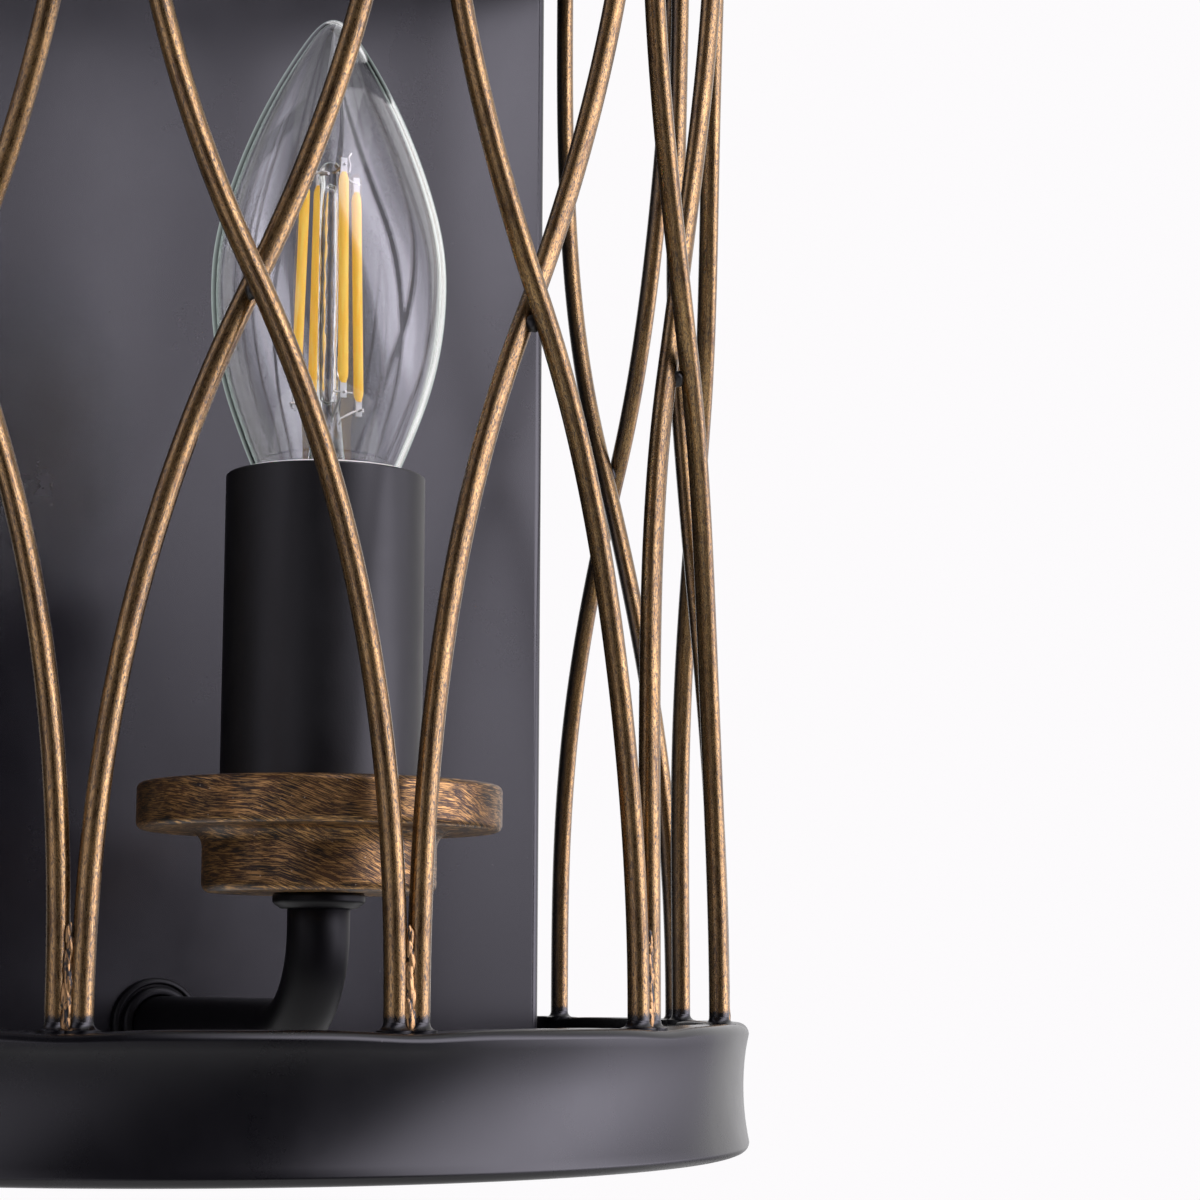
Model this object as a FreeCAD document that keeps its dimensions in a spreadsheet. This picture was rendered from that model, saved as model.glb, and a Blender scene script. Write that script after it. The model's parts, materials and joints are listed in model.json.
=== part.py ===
"""Caged wall lamp: wall box, swan-neck candle arm, lamp, and an oval cage of crossing rods."""
import FreeCAD
import Part
import Sketcher
import math
import os

# The lamp hangs on a wall. The wall is the plane y = 0, the room is on the -Y side, +Z is up,
# and the origin is the middle of the wall box's back edge.

SIZES = {
    # wall box, a folded sheet tray open to the wall
    "box_width": 142.0, "box_depth": 37.0, "box_sheet": 1.2,
    "box_fold": 2.0,
    # strap that is screwed to the wall inside the box
    "strap_width": 26.0, "strap_sheet": 1.6, "strap_ear": 15.0, "strap_clearance": 0.4,
    "wall_slot_width": 5.0, "wall_slot_length": 16.0, "wall_slot_spacing": 176.0,
    "cable_hole": 16.0, "cable_above_centre": 26.0,
    # screws that hold the box on the strap
    "side_screw": 3.5, "side_screw_head": 6.6, "side_screw_head_high": 2.0,
    "side_screw_length": 8.0, "side_screw_depth": 9.0, "screw_clearance": 0.3,
    # terminal block and earth screw on the strap
    "block_length": 26.0, "block_width": 17.0, "block_high": 7.0, "tower_size": 7.0,
    "tower_high": 6.0, "tower_spacing": 8.2, "block_below_centre": 58.0, "block_screw": 3.6,
    "block_screw_high": 2.0, "earth_head": 8.0, "earth_head_high": 2.6,
    "earth_washer": 10.0, "earth_washer_high": 0.8, "earth_below_centre": 30.0,
    # oval of the cage, as a rolled band of two radii with tight rear corners
    "oval_side_room": 19.0, "oval_reach": 103.0, "oval_behind_front": 0.45, "oval_corner": 6.0,
    "band_from_wall": 6.0,
    "band_height": 20.0, "band_inside": 1.8, "band_outside": 4.6, "band_waist": 0.9,
    "band_lip": 1.4,
    # rods
    "rod_height": 202.0, "rod_size": 3.2, "rod_pair_gap": 0.1,
    "rod_draw_in": 3.25, "rod_cross_gap": 0.3,
    # candle arm
    "arm_below_rods": 0.7, "pan_behind_oval": 5.75, "arm_tube": 9.0, "arm_bore": 7.0,
    "arm_bend": 14.0, "arm_tail": 9.0, "arm_hole_clearance": 0.2,
    "rosette_size": 15.0, "rosette_base": 1.6, "rosette_ring": 12.2, "rosette_high": 3.0,
    "washer_size": 16.0, "washer_high": 1.0, "nut_flats": 14.0, "nut_high": 4.0,
    "collar_size": 13.3, "collar_high": 2.2, "collar_above_rods": 16.6,
    # drip pan, in two turned steps
    "pan_foot_size": 33.6, "pan_foot_high": 7.2, "pan_disc_size": 52.4, "pan_disc_high": 6.6,
    "pan_neck_high": 1.7, "pan_neck_size": 39.0, "pan_round": 1.0, "pan_hole": 7.2,
    # threaded tube through the pan
    "nipple_size": 6.8, "nipple_bore": 4.8, "nipple_high": 27.0,
    # lampholder for the small screw cap
    "holder_size": 26.4, "holder_high": 45.4, "holder_floor": 13.4, "holder_cavity": 16.2,
    "holder_mouth": 23.2, "holder_mouth_deep": 8.0, "holder_socket": 7.2, "holder_socket_deep": 6.5,
    "shell_size": 15.6, "shell_bore": 14.6, "shell_high": 17.0, "shell_above_floor": 1.0,
    "tongue_size": 8.0, "tongue_high": 0.6, "tongue_tip": 4.0, "tongue_tip_high": 2.1,
    # candle sleeve
    "sleeve_size": 29.0, "sleeve_bore": 27.0, "sleeve_high": 44.8, "sleeve_seat_gap": 0.2,
    # bulb with a small screw cap
    "tip_gap": 0.3, "tip_size": 4.8, "tip_high": 1.2, "insulator_high": 2.6,
    "insulator_size": 10.6, "cap_size": 13.9, "cap_sheet": 0.4, "cap_high": 17.4,
    "cap_collar_size": 15.4, "cap_collar_high": 2.2,
    "glass_wall": 0.7, "glass_high": 76.6, "glass_size": 35.0,
    "stem_flare": 13.0, "stem_high": 17.0, "stem_top": 4.2, "stem_rod": 3.0, "stem_rod_high": 39.0,
    "filament_size": 1.5, "filament_high": 34.0, "filament_circle": 10.2,
    "filament_above_neck": 18.0, "lead_wire": 0.7, "bulb_tip_nose": 3.0,
    # insulated leads from the terminal block to the lampholder
    "lead_size": 1.6, "lead_spacing": 2.4, "lead_bend": 8.0,
}
# Outline of the bulb above its neck: height and radius as shares of the glass's height and size.
GLASS_OUTLINE_SHARES = [(0.0, 0.214), (0.046, 0.238), (0.105, 0.308), (0.18, 0.372), (0.26, 0.437),
                        (0.36, 0.485), (0.46, 0.5), (0.56, 0.487), (0.69, 0.404), (0.80, 0.307),
                        (0.89, 0.204), (0.95, 0.122)]
FILAMENTS = 4
FILAMENT_TURN = 4.0
# Heights of the corners of a rod's path, how sharply it leaves its foot, and how much of a run
# the arcs on both its ends take.
ROD_STATION_SHARES = [0.0, 0.02, 0.17, 0.31, 0.44, 0.56, 0.69, 0.83, 0.98, 1.0]
ROD_BEND_POWER = 2.39
ARC_SHARE = 0.45
# Radius of the oval's front, as a share of its half width.
FRONT_RADIUS_SHARE = 0.889
CAGE_BAYS = 8

doc = FreeCAD.newDocument("WallLamp")
sheet = doc.addObject("Spreadsheet::Sheet", "Sizes")
for row, (alias, number) in enumerate(SIZES.items(), start=1):
    sheet.set("A%d" % row, alias)
    sheet.set("B%d" % row, str(number))
    sheet.setAlias("B%d" % row, alias)
doc.recompute()


class Size:
    """A length that knows both its number and the sheet expression that drives it."""

    def __init__(self, value, text):
        self.value = value
        self.text = text

    def __add__(self, other):
        other = as_size(other)
        return Size(self.value + other.value, "(%s + %s)" % (self.text, other.text))

    def __sub__(self, other):
        other = as_size(other)
        return Size(self.value - other.value, "(%s - %s)" % (self.text, other.text))

    def __mul__(self, share):
        return Size(self.value * share, "(%s * %s)" % (self.text, share))

    def __truediv__(self, share):
        return Size(self.value / share, "(%s / %s)" % (self.text, share))

    def __neg__(self):
        return Size(-self.value, "(0 mm - %s)" % self.text)


def as_size(value):
    """Turn a plain zero into a Size, and leave a Size as it is."""
    return value if isinstance(value, Size) else Size(value, "%s mm" % value)


def size(alias):
    """The sheet's cell of that name, as a Size in millimetres."""
    return Size(float(sheet.get(alias)), "(Sizes.%s * 1 mm)" % alias)


def new_body(label):
    """A part-design body with its own label, which also names its file."""
    body = doc.addObject("PartDesign::Body", label)
    body.Label = label
    return body


def sketch_on(body, role, name, lift=None):
    """A sketch on one of the body's own origin planes, lifted off it by a Size if one is given."""
    plane = next(o for o in body.Origin.OriginFeatures if o.Role == role)
    sketch = body.newObject("Sketcher::SketchObject", name)
    sketch.AttachmentSupport = [(plane, "")]
    sketch.MapMode = "FlatFace"
    if lift is not None:
        sketch.setExpression("AttachmentOffset.Base.z", lift.text)
    return sketch


def drive(sketch, kind, geometry, value):
    """Add a dimension to a sketch and bind it to the sheet."""
    value = as_size(value)
    index = sketch.addConstraint(Sketcher.Constraint(kind, *geometry, value.value))
    if value.value:
        sketch.setExpression("Constraints[%d]" % index, value.text)


def polygon(sketch, corners):
    """A closed outline whose corners are pairs of sizes, each bound to the sheet."""
    corners = [(as_size(x), as_size(y)) for x, y in corners]
    points = [FreeCAD.Vector(x.value, y.value, 0) for x, y in corners]
    lines = [sketch.addGeometry(Part.LineSegment(a, b), False)
             for a, b in zip(points, points[1:] + points[:1])]
    for line, following in zip(lines, lines[1:] + lines[:1]):
        sketch.addConstraint(Sketcher.Constraint("Coincident", line, 2, following, 1))
    for line, (x, y) in zip(lines, corners):
        drive(sketch, "DistanceX", (line, 1), x)
        drive(sketch, "DistanceY", (line, 1), y)


def circle(sketch, x, y, diameter):
    """A circle with its centre and diameter bound to the sheet."""
    x, y, diameter = as_size(x), as_size(y), as_size(diameter)
    ring = sketch.addGeometry(Part.Circle(FreeCAD.Vector(x.value, y.value, 0),
                                          FreeCAD.Vector(0, 0, 1), diameter.value / 2), False)
    drive(sketch, "DistanceX", (ring, 3), x)
    drive(sketch, "DistanceY", (ring, 3), y)
    drive(sketch, "Diameter", (ring,), diameter)


def rectangle(sketch, x, y, width, height):
    """A rectangle about a centre, bound to the sheet."""
    x, y = as_size(x), as_size(y)
    polygon(sketch, [(x - width / 2, y - height / 2), (x + width / 2, y - height / 2),
                     (x + width / 2, y + height / 2), (x - width / 2, y + height / 2)])


def slot(sketch, x, y, width, length):
    """An upright slot with round ends, bound to the sheet."""
    x, y = as_size(x), as_size(y)
    side, half = width / 2, (length - width) / 2
    right = sketch.addGeometry(Part.LineSegment(
        FreeCAD.Vector((x + side).value, (y - half).value, 0),
        FreeCAD.Vector((x + side).value, (y + half).value, 0)), False)
    left = sketch.addGeometry(Part.LineSegment(
        FreeCAD.Vector((x - side).value, (y + half).value, 0),
        FreeCAD.Vector((x - side).value, (y - half).value, 0)), False)
    for centre, first, second, begin in ((y + half, right, left, 0), (y - half, left, right, 1)):
        ring = Part.Circle(FreeCAD.Vector(x.value, centre.value, 0), FreeCAD.Vector(0, 0, 1),
                           side.value)
        arc = sketch.addGeometry(Part.ArcOfCircle(ring, begin * math.pi, (begin + 1) * math.pi),
                                 False)
        sketch.addConstraint(Sketcher.Constraint("Tangent", first, 2, arc, 1))
        sketch.addConstraint(Sketcher.Constraint("Tangent", arc, 2, second, 1))
        drive(sketch, "DistanceX", (arc, 3), x)
        drive(sketch, "DistanceY", (arc, 3), centre)
        if begin == 0:
            drive(sketch, "Radius", (arc,), side)


def pad(body, sketch, length, name, reverse=False, middle=False):
    """Raise a sketch into a solid."""
    feature = body.newObject("PartDesign::Pad", name)
    feature.Profile = sketch
    feature.setExpression("Length", length.text)
    feature.Reversed = reverse
    feature.Midplane = middle
    return feature


def cut_through(body, sketch, name):
    """Cut a sketch through the whole body, both ways."""
    doc.recompute()
    before = body.Shape.Volume
    feature = body.newObject("PartDesign::Pocket", name)
    feature.Profile = sketch
    feature.Type = "ThroughAll"
    feature.Midplane = True
    doc.recompute()
    assert body.Shape.Volume < before, name
    return feature


def cut_deep(body, sketch, length, name, reverse=False):
    """Cut a sketch to a depth."""
    doc.recompute()
    before = body.Shape.Volume
    feature = body.newObject("PartDesign::Pocket", name)
    feature.Profile = sketch
    feature.Type = "Length"
    feature.setExpression("Length", length.text)
    feature.Reversed = reverse
    doc.recompute()
    assert body.Shape.Volume < before, name
    return feature


def turned(label, outline):
    """A turned piece: an outline of radius and height, spun about the body's Z axis."""
    body = new_body(label)
    sketch = sketch_on(body, "XZ_Plane", label + "_outline")
    polygon(sketch, outline)
    spin = body.newObject("PartDesign::Revolution", label + "_spin")
    spin.Profile = sketch
    spin.ReferenceAxis = (sketch, ["V_Axis"])
    spin.Angle = 360
    doc.recompute()
    return body


def round_edges(body, chosen, radius, name):
    """Round the edges of a body's tip that a test picks out."""
    doc.recompute()
    tip = body.Tip
    names = ["Edge%d" % i for i, edge in enumerate(tip.Shape.Edges, start=1) if chosen(edge)]
    feature = body.newObject("PartDesign::Fillet", name)
    feature.Base = (tip, names)
    feature.setExpression("Radius", radius.text)
    doc.recompute()
    return feature


def place(feature, x, y, z, turn=None):
    """Put a piece in its place, bound to the sheet, with a turn about the X axis if one is given."""
    if turn is not None:
        feature.Placement = FreeCAD.Placement(FreeCAD.Vector(), FreeCAD.Rotation(
            FreeCAD.Vector(1, 0, 0), turn))
    for axis, value in (("x", x), ("y", y), ("z", z)):
        feature.setExpression("Placement.Base." + axis, as_size(value).text)


def rod_like(label, diameter, length, x, y, z, turn=None):
    """A plain cylinder that stands on a point, bound to the sheet."""
    feature = doc.addObject("Part::Cylinder", label)
    feature.setExpression("Radius", (diameter / 2).text)
    feature.setExpression("Height", length.text)
    place(feature, x, y, z, turn)
    return feature


def joined(label, pieces):
    """Fuse overlapping primitives into one solid."""
    feature = doc.addObject("Part::MultiFuse", label)
    feature.Shapes = pieces
    feature.Label = label
    return feature


def group(label, pieces):
    """Keep like pieces together as separate solids of one node."""
    feature = doc.addObject("Part::Compound", label)
    feature.Links = pieces
    feature.Label = label
    return feature


def smooth_path(points):
    """Straight runs between points, joined by arcs that are tangent to both runs."""
    edges, begin = [], points[0]
    for before, corner, after in zip(points, points[1:], points[2:]):
        back, ahead = before - corner, after - corner
        reach = ARC_SHARE * min(back.Length, ahead.Length)
        back.normalize()
        ahead.normalize()
        half = back.getAngle(ahead) / 2
        inward = back + ahead
        inward.normalize()
        radius = reach * math.tan(half)
        start, end = corner + back * reach, corner + ahead * reach
        middle = corner + inward * (reach / math.cos(half) - radius)
        edges += [Part.LineSegment(begin, start).toShape(), Part.Arc(start, middle, end).toShape()]
        begin = end
    return Part.Wire(edges + [Part.LineSegment(begin, points[-1]).toShape()])


def swept(path, section, upright=None):
    """A solid that follows a path, held upright about a direction if one is given."""
    maker = Part.BRepOffsetAPI.MakePipeShell(path)
    if upright is not None:
        maker.setBiNormalMode(upright)
    maker.add(section, False, False)
    maker.build()
    maker.makeSolid()
    return maker.shape()


def made(label, shape):
    """A piece whose shape is built by hand from the sheet's numbers."""
    feature = doc.addObject("Part::Feature", label)
    feature.Label = label
    feature.Shape = shape
    return feature


# Heights and depths that many pieces share
cage_bottom = -(size("rod_height") / 2)
cage_top = size("rod_height") / 2
box_height = size("rod_height") + size("band_height") * 2
arm_z = cage_bottom - size("arm_below_rods")
oval_front = size("box_depth") + size("oval_behind_front") + size("oval_reach")
candle_y = -(oval_front - size("pan_behind_oval") - size("pan_disc_size") / 2)
collar_z = cage_bottom + size("collar_above_rods")
pan_z = collar_z + size("collar_high")
sleeve_z = pan_z + size("pan_foot_high") + size("pan_neck_high") + size("pan_disc_high")
floor_z = sleeve_z + size("holder_floor")
tongue_top = floor_z + size("tongue_high") + size("tongue_tip_high")
tip_z = tongue_top + size("tip_gap")
insulator_z = tip_z + size("tip_high") + size("tip_gap")
cap_z = insulator_z + size("insulator_high")
neck_z = cap_z + size("cap_high")
box_front = -size("box_depth")

# Wall box: a folded tray, open to the wall
box = new_body("wall_box")
outline = sketch_on(box, "XZ_Plane", "box_outline")
rectangle(outline, 0, 0, size("box_width"), box_height)
pad(box, outline, size("box_depth"), "box_block")
doc.recompute()
round_edges(box, lambda e: e.CenterOfMass.y < -size("box_sheet").value, size("box_fold"),
            "box_folds")
hollow = sketch_on(box, "XZ_Plane", "box_hollow")
rectangle(hollow, 0, 0, size("box_width") - size("box_sheet") * 2,
          box_height - size("box_sheet") * 2)
cut_deep(box, hollow, size("box_depth") - size("box_sheet"), "box_inside", True)
arm_hole = sketch_on(box, "XZ_Plane", "arm_hole")
circle(arm_hole, 0, arm_z, size("arm_tube") + size("arm_hole_clearance") * 2)
cut_through(box, arm_hole, "arm_hole_cut")
side_holes = sketch_on(box, "XY_Plane", "side_holes")
circle(side_holes, 0, -size("side_screw_depth"), size("side_screw") + size("screw_clearance") * 2)
cut_through(box, side_holes, "side_holes_cut")

# Wall strap with an ear bent forward at each end
strap = new_body("wall_strap")
strap_half = box_height / 2 - size("box_sheet") - size("strap_clearance")
bend = sketch_on(strap, "YZ_Plane", "strap_bend")
polygon(bend, [(0, -strap_half), (0, strap_half), (-size("strap_ear"), strap_half),
               (-size("strap_ear"), strap_half - size("strap_sheet")),
               (-size("strap_sheet"), strap_half - size("strap_sheet")),
               (-size("strap_sheet"), size("strap_sheet") - strap_half),
               (-size("strap_ear"), size("strap_sheet") - strap_half),
               (-size("strap_ear"), -strap_half)])
pad(strap, bend, size("strap_width"), "strap_sheet_metal", middle=True)
slots = sketch_on(strap, "XZ_Plane", "strap_slots")
slot_z = size("wall_slot_spacing") / 2
for upward in (slot_z, -slot_z):
    slot(slots, 0, upward, size("wall_slot_width"), size("wall_slot_length"))
circle(slots, 0, size("cable_above_centre"), size("cable_hole"))
cut_through(strap, slots, "strap_slots_cut")
ear_holes = sketch_on(strap, "XY_Plane", "strap_ear_holes")
circle(ear_holes, 0, -size("side_screw_depth"), size("side_screw") + size("screw_clearance"))
cut_through(strap, ear_holes, "strap_ear_holes_cut")

# Two screws that hold the box on the strap
screws = []
for name, way in (("upper", 1), ("lower", -1)):
    turn = 180 if way > 0 else 0
    seat = box_height / 2 * way
    head = rod_like("side_head_" + name, size("side_screw_head"), size("side_screw_head_high"), 0,
                    -size("side_screw_depth"), seat + size("side_screw_head_high") * way, turn)
    shank = rod_like("side_shank_" + name, size("side_screw"),
                     size("side_screw_length") + size("side_screw_head_high"), 0,
                     -size("side_screw_depth"), seat + size("side_screw_head_high") * way, turn)
    screws.append(joined("side_screw_" + name, [head, shank]))
group("side_screws", screws)

# Terminal block on the strap: a base with three clamp towers
block_z = -size("block_below_centre")
block = new_body("terminal_block")
base = sketch_on(block, "XZ_Plane", "block_base", size("strap_sheet"))
rectangle(base, 0, block_z, size("block_length"), size("block_width"))
pad(block, base, size("block_high"), "block_slab")
doc.recompute()
towers = sketch_on(block, "XZ_Plane", "block_towers", size("strap_sheet"))
for place_in_row in (-1, 0, 1):
    circle(towers, size("tower_spacing") * place_in_row, block_z, size("tower_size"))
pad(block, towers, size("block_high") + size("tower_high"), "block_tower_rise")
doc.recompute()
group("terminal_screws", [
    rod_like("terminal_screw_%d" % (i + 2), size("block_screw"), size("block_screw_high"),
             size("tower_spacing") * i,
             -(size("strap_sheet") + size("block_high") + size("tower_high")), block_z, 90)
    for i in (-1, 0, 1)])

# Earth screw and its washer, on the strap above the block
earth_z = -size("earth_below_centre")
rod_like("earth_washer", size("earth_washer"), size("earth_washer_high"), 0, -size("strap_sheet"),
         earth_z, 90)
rod_like("earth_screw", size("earth_head"), size("earth_head_high"), 0,
         -(size("strap_sheet") + size("earth_washer_high")), earth_z, 90)

# Rosette, washer and nut where the arm goes through the box
rosette = turned("rosette", [
    (size("arm_tube") / 2 + size("arm_hole_clearance"), 0), (size("rosette_size") / 2, 0),
    (size("rosette_size") / 2, size("rosette_base")), (size("rosette_ring") / 2, size("rosette_base")),
    (size("rosette_ring") / 2, size("rosette_high")),
    (size("arm_tube") / 2 + size("arm_hole_clearance"), size("rosette_high"))])
place(rosette, 0, box_front, arm_z, 90)
inner_face = box_front + size("box_sheet")
washer = turned("arm_washer", [
    (size("arm_tube") / 2 + size("arm_hole_clearance"), 0), (size("washer_size") / 2, 0),
    (size("washer_size") / 2, size("washer_high")),
    (size("arm_tube") / 2 + size("arm_hole_clearance"), size("washer_high"))])
place(washer, 0, inner_face, arm_z, -90)
nut = new_body("arm_nut")
flats = sketch_on(nut, "XY_Plane", "nut_flats")
corner_share = 1 / math.sqrt(3)
polygon(flats, [(size("nut_flats") * (corner_share * math.cos(math.radians(60 * i))),
                 size("nut_flats") * (corner_share * math.sin(math.radians(60 * i))))
                for i in range(6)])
circle(flats, 0, 0, size("arm_tube") + size("arm_hole_clearance") * 2)
pad(nut, flats, size("nut_high"), "nut_block")
doc.recompute()
place(nut, 0, inner_face + size("washer_high"), arm_z, -90)

# Swan-neck arm: a tube that runs out from the box and turns up into the drip pan
arm = new_body("arm")
tail_y = box_front + size("arm_tail")
route = sketch_on(arm, "YZ_Plane", "arm_route")
bend_y, bend_z = candle_y + size("arm_bend"), arm_z + size("arm_bend")
out = route.addGeometry(Part.LineSegment(FreeCAD.Vector(tail_y.value, arm_z.value, 0),
                                         FreeCAD.Vector(bend_y.value, arm_z.value, 0)), False)
turn_up = route.addGeometry(Part.ArcOfCircle(
    Part.Circle(FreeCAD.Vector(bend_y.value, bend_z.value, 0), FreeCAD.Vector(0, 0, 1),
                size("arm_bend").value), math.pi, 1.5 * math.pi), False)
rise = route.addGeometry(Part.LineSegment(FreeCAD.Vector(candle_y.value, bend_z.value, 0),
                                          FreeCAD.Vector(candle_y.value, collar_z.value, 0)), False)
route.addConstraint(Sketcher.Constraint("Tangent", out, 2, turn_up, 2))
route.addConstraint(Sketcher.Constraint("Tangent", turn_up, 1, rise, 1))
route.addConstraint(Sketcher.Constraint("Horizontal", out))
route.addConstraint(Sketcher.Constraint("Vertical", rise))
drive(route, "DistanceX", (out, 1), tail_y)
drive(route, "DistanceY", (out, 1), arm_z)
drive(route, "DistanceX", (rise, 2), candle_y)
drive(route, "DistanceY", (rise, 2), collar_z)
drive(route, "Radius", (turn_up,), size("arm_bend"))
section = sketch_on(arm, "XZ_Plane", "arm_section", -tail_y)
circle(section, 0, arm_z, size("arm_tube"))
circle(section, 0, arm_z, size("arm_bore"))
doc.recompute()
tube = arm.newObject("PartDesign::AdditivePipe", "arm_tube_pipe")
tube.Profile = section
tube.Spine = (route, ["Edge1", "Edge2", "Edge3"])
doc.recompute()

# Collar, drip pan and the threaded tube that clamps them
collar = turned("arm_collar", [
    (size("nipple_size") / 2 + size("arm_hole_clearance"), 0), (size("collar_size") / 2, 0),
    (size("collar_size") / 2, size("collar_high")),
    (size("nipple_size") / 2 + size("arm_hole_clearance"), size("collar_high"))])
place(collar, 0, candle_y, collar_z)
foot_top = size("pan_foot_high")
disc_bottom = foot_top + size("pan_neck_high")
disc_top = disc_bottom + size("pan_disc_high")
pan = turned("drip_pan", [
    (size("pan_hole") / 2, 0), (size("pan_foot_size") / 2, 0), (size("pan_foot_size") / 2, foot_top),
    (size("pan_neck_size") / 2, disc_bottom), (size("pan_disc_size") / 2, disc_bottom),
    (size("pan_disc_size") / 2, disc_top), (size("pan_hole") / 2, disc_top)])
rim_radius = size("pan_disc_size").value / 2
round_edges(pan, lambda e: hasattr(e.Curve, "Radius") and (
    abs(e.Curve.Radius - rim_radius) < size("pan_round").value
    or (abs(e.Curve.Radius - size("pan_foot_size").value / 2) < size("pan_round").value
        and e.CenterOfMass.z < size("pan_round").value)), size("pan_round"), "pan_rims")
place(pan, 0, candle_y, pan_z)
nipple = turned("threaded_tube", [
    (size("nipple_bore") / 2, 0), (size("nipple_size") / 2, 0),
    (size("nipple_size") / 2, size("nipple_high")), (size("nipple_bore") / 2, size("nipple_high"))])
place(nipple, 0, candle_y, sleeve_z + size("holder_socket_deep") - size("nipple_high"))

# Lampholder: a light-coloured cup with a screw shell and a spring tongue
holder = turned("lampholder", [
    (size("holder_socket") / 2, 0), (size("holder_size") / 2, 0),
    (size("holder_size") / 2, size("holder_high")), (size("holder_mouth") / 2, size("holder_high")),
    (size("holder_mouth") / 2, size("holder_high") - size("holder_mouth_deep")),
    (size("holder_cavity") / 2, size("holder_high") - size("holder_mouth_deep")),
    (size("holder_cavity") / 2, size("holder_floor")),
    (size("nipple_bore") / 2, size("holder_floor")),
    (size("nipple_bore") / 2, size("holder_socket_deep")),
    (size("holder_socket") / 2, size("holder_socket_deep"))])
place(holder, 0, candle_y, sleeve_z)
shell = turned("screw_shell", [
    (size("shell_bore") / 2, 0), (size("shell_size") / 2, 0),
    (size("shell_size") / 2, size("shell_high")), (size("shell_bore") / 2, size("shell_high"))])
place(shell, 0, candle_y, floor_z + size("shell_above_floor"))
tongue = turned("centre_contact", [
    (0, 0), (size("tongue_size") / 2, 0), (size("tongue_size") / 2, size("tongue_high")),
    (size("tongue_tip") / 2, size("tongue_high")),
    (size("tongue_tip") / 2, size("tongue_high") + size("tongue_tip_high")),
    (0, size("tongue_high") + size("tongue_tip_high"))])
place(tongue, 0, candle_y, floor_z)
sleeve = turned("candle_sleeve", [
    (size("sleeve_bore") / 2, 0), (size("sleeve_size") / 2, 0),
    (size("sleeve_size") / 2, size("sleeve_high")), (size("sleeve_bore") / 2, size("sleeve_high"))])
place(sleeve, 0, candle_y, sleeve_z + size("sleeve_seat_gap"))

# Bulb: contact, insulator, screw cap, glass, stem and four filaments
tip = turned("bulb_contact", [(0, 0), (size("tip_size") / 2, 0),
                              (size("tip_size") / 2, size("tip_high")), (0, size("tip_high"))])
place(tip, 0, candle_y, tip_z)
insulator = turned("bulb_insulator", [
    (0, 0), (size("tip_size") / 2, 0), (size("insulator_size") / 2, size("insulator_high")),
    (0, size("insulator_high"))])
place(insulator, 0, candle_y, insulator_z)
skirt = size("cap_high") - size("cap_collar_high")
cap = turned("bulb_cap", [
    (0, 0), (size("cap_size") / 2, 0), (size("cap_size") / 2, skirt),
    (size("cap_collar_size") / 2, size("cap_high")),
    (size("cap_collar_size") / 2 - size("cap_sheet"), size("cap_high")),
    (size("cap_size") / 2 - size("cap_sheet"), skirt),
    (size("cap_size") / 2 - size("cap_sheet"), size("cap_sheet")), (0, size("cap_sheet"))])
place(cap, 0, candle_y, cap_z)


def glass_curve(inset):
    """Half the bulb's outline from its neck to its tip, drawn in by an inset."""
    high, wide = size("glass_high").value, size("glass_size").value
    points = [FreeCAD.Vector(wide * r - inset, 0, high * z) for z, r in GLASS_OUTLINE_SHARES]
    curve = Part.BSplineCurve()
    curve.interpolate(points)
    side = curve.toShape()
    last = curve.tangent(curve.LastParameter)[0]
    crown = FreeCAD.Vector(0, 0, high - inset)
    nose = Part.BezierCurve()
    nose.setPoles([points[-1], points[-1] + last * size("bulb_tip_nose").value,
                   crown + FreeCAD.Vector(size("bulb_tip_nose").value / 2, 0, 0), crown])
    return [side, nose.toShape()]


outer_curves, inner_curves = glass_curve(0), glass_curve(size("glass_wall").value)
neck_edge = Part.makeLine(inner_curves[0].Vertexes[0].Point, outer_curves[0].Vertexes[0].Point)
crown_edge = Part.makeLine(outer_curves[1].Vertexes[-1].Point, inner_curves[1].Vertexes[-1].Point)
glass_wire = Part.Wire([neck_edge] + outer_curves + [crown_edge] + inner_curves[::-1])
glass = made("bulb_glass", Part.Face(glass_wire).revolve(FreeCAD.Vector(),
                                                         FreeCAD.Vector(0, 0, 1), 360))
place(glass, 0, candle_y, neck_z)

stem = turned("bulb_stem", [
    (0, 0), (size("stem_flare") / 2, 0), (size("stem_top") / 2, size("stem_high")),
    (size("stem_rod") / 2, size("stem_high")),
    (size("stem_rod") / 2, size("stem_high") + size("stem_rod_high")),
    (0, size("stem_high") + size("stem_rod_high"))])
place(stem, 0, candle_y, neck_z)
sticks, leads = [], []
spoke = size("filament_circle") / 2
for number in range(FILAMENTS):
    around = math.radians(360 * number / FILAMENTS + FILAMENT_TURN)
    x, y = spoke * math.cos(around), candle_y + spoke * math.sin(around)
    low = neck_z + size("filament_above_neck")
    sticks.append(rod_like("filament_%d" % (number + 1), size("filament_size"),
                           size("filament_high"), x, y, low))
    for name, level in (("low", low - size("lead_wire")), ("high", low + size("filament_high"))):
        lead = rod_like("filament_lead_%s_%d" % (name, number + 1), size("lead_wire"),
                        spoke - size("stem_rod") / 2, 0, candle_y, level)
        lead.Placement = FreeCAD.Placement(FreeCAD.Vector(), FreeCAD.Rotation(
            FreeCAD.Vector(-math.sin(around), math.cos(around), 0), 90))
        inner = size("stem_rod") / 2
        for axis, value in (("x", inner * math.cos(around)),
                            ("y", candle_y + inner * math.sin(around)),
                            ("z", level + size("lead_wire") / 2)):
            lead.setExpression("Placement.Base." + axis, value.text)
        leads.append(lead)
group("filaments", sticks)
group("filament_leads", leads)

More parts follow.
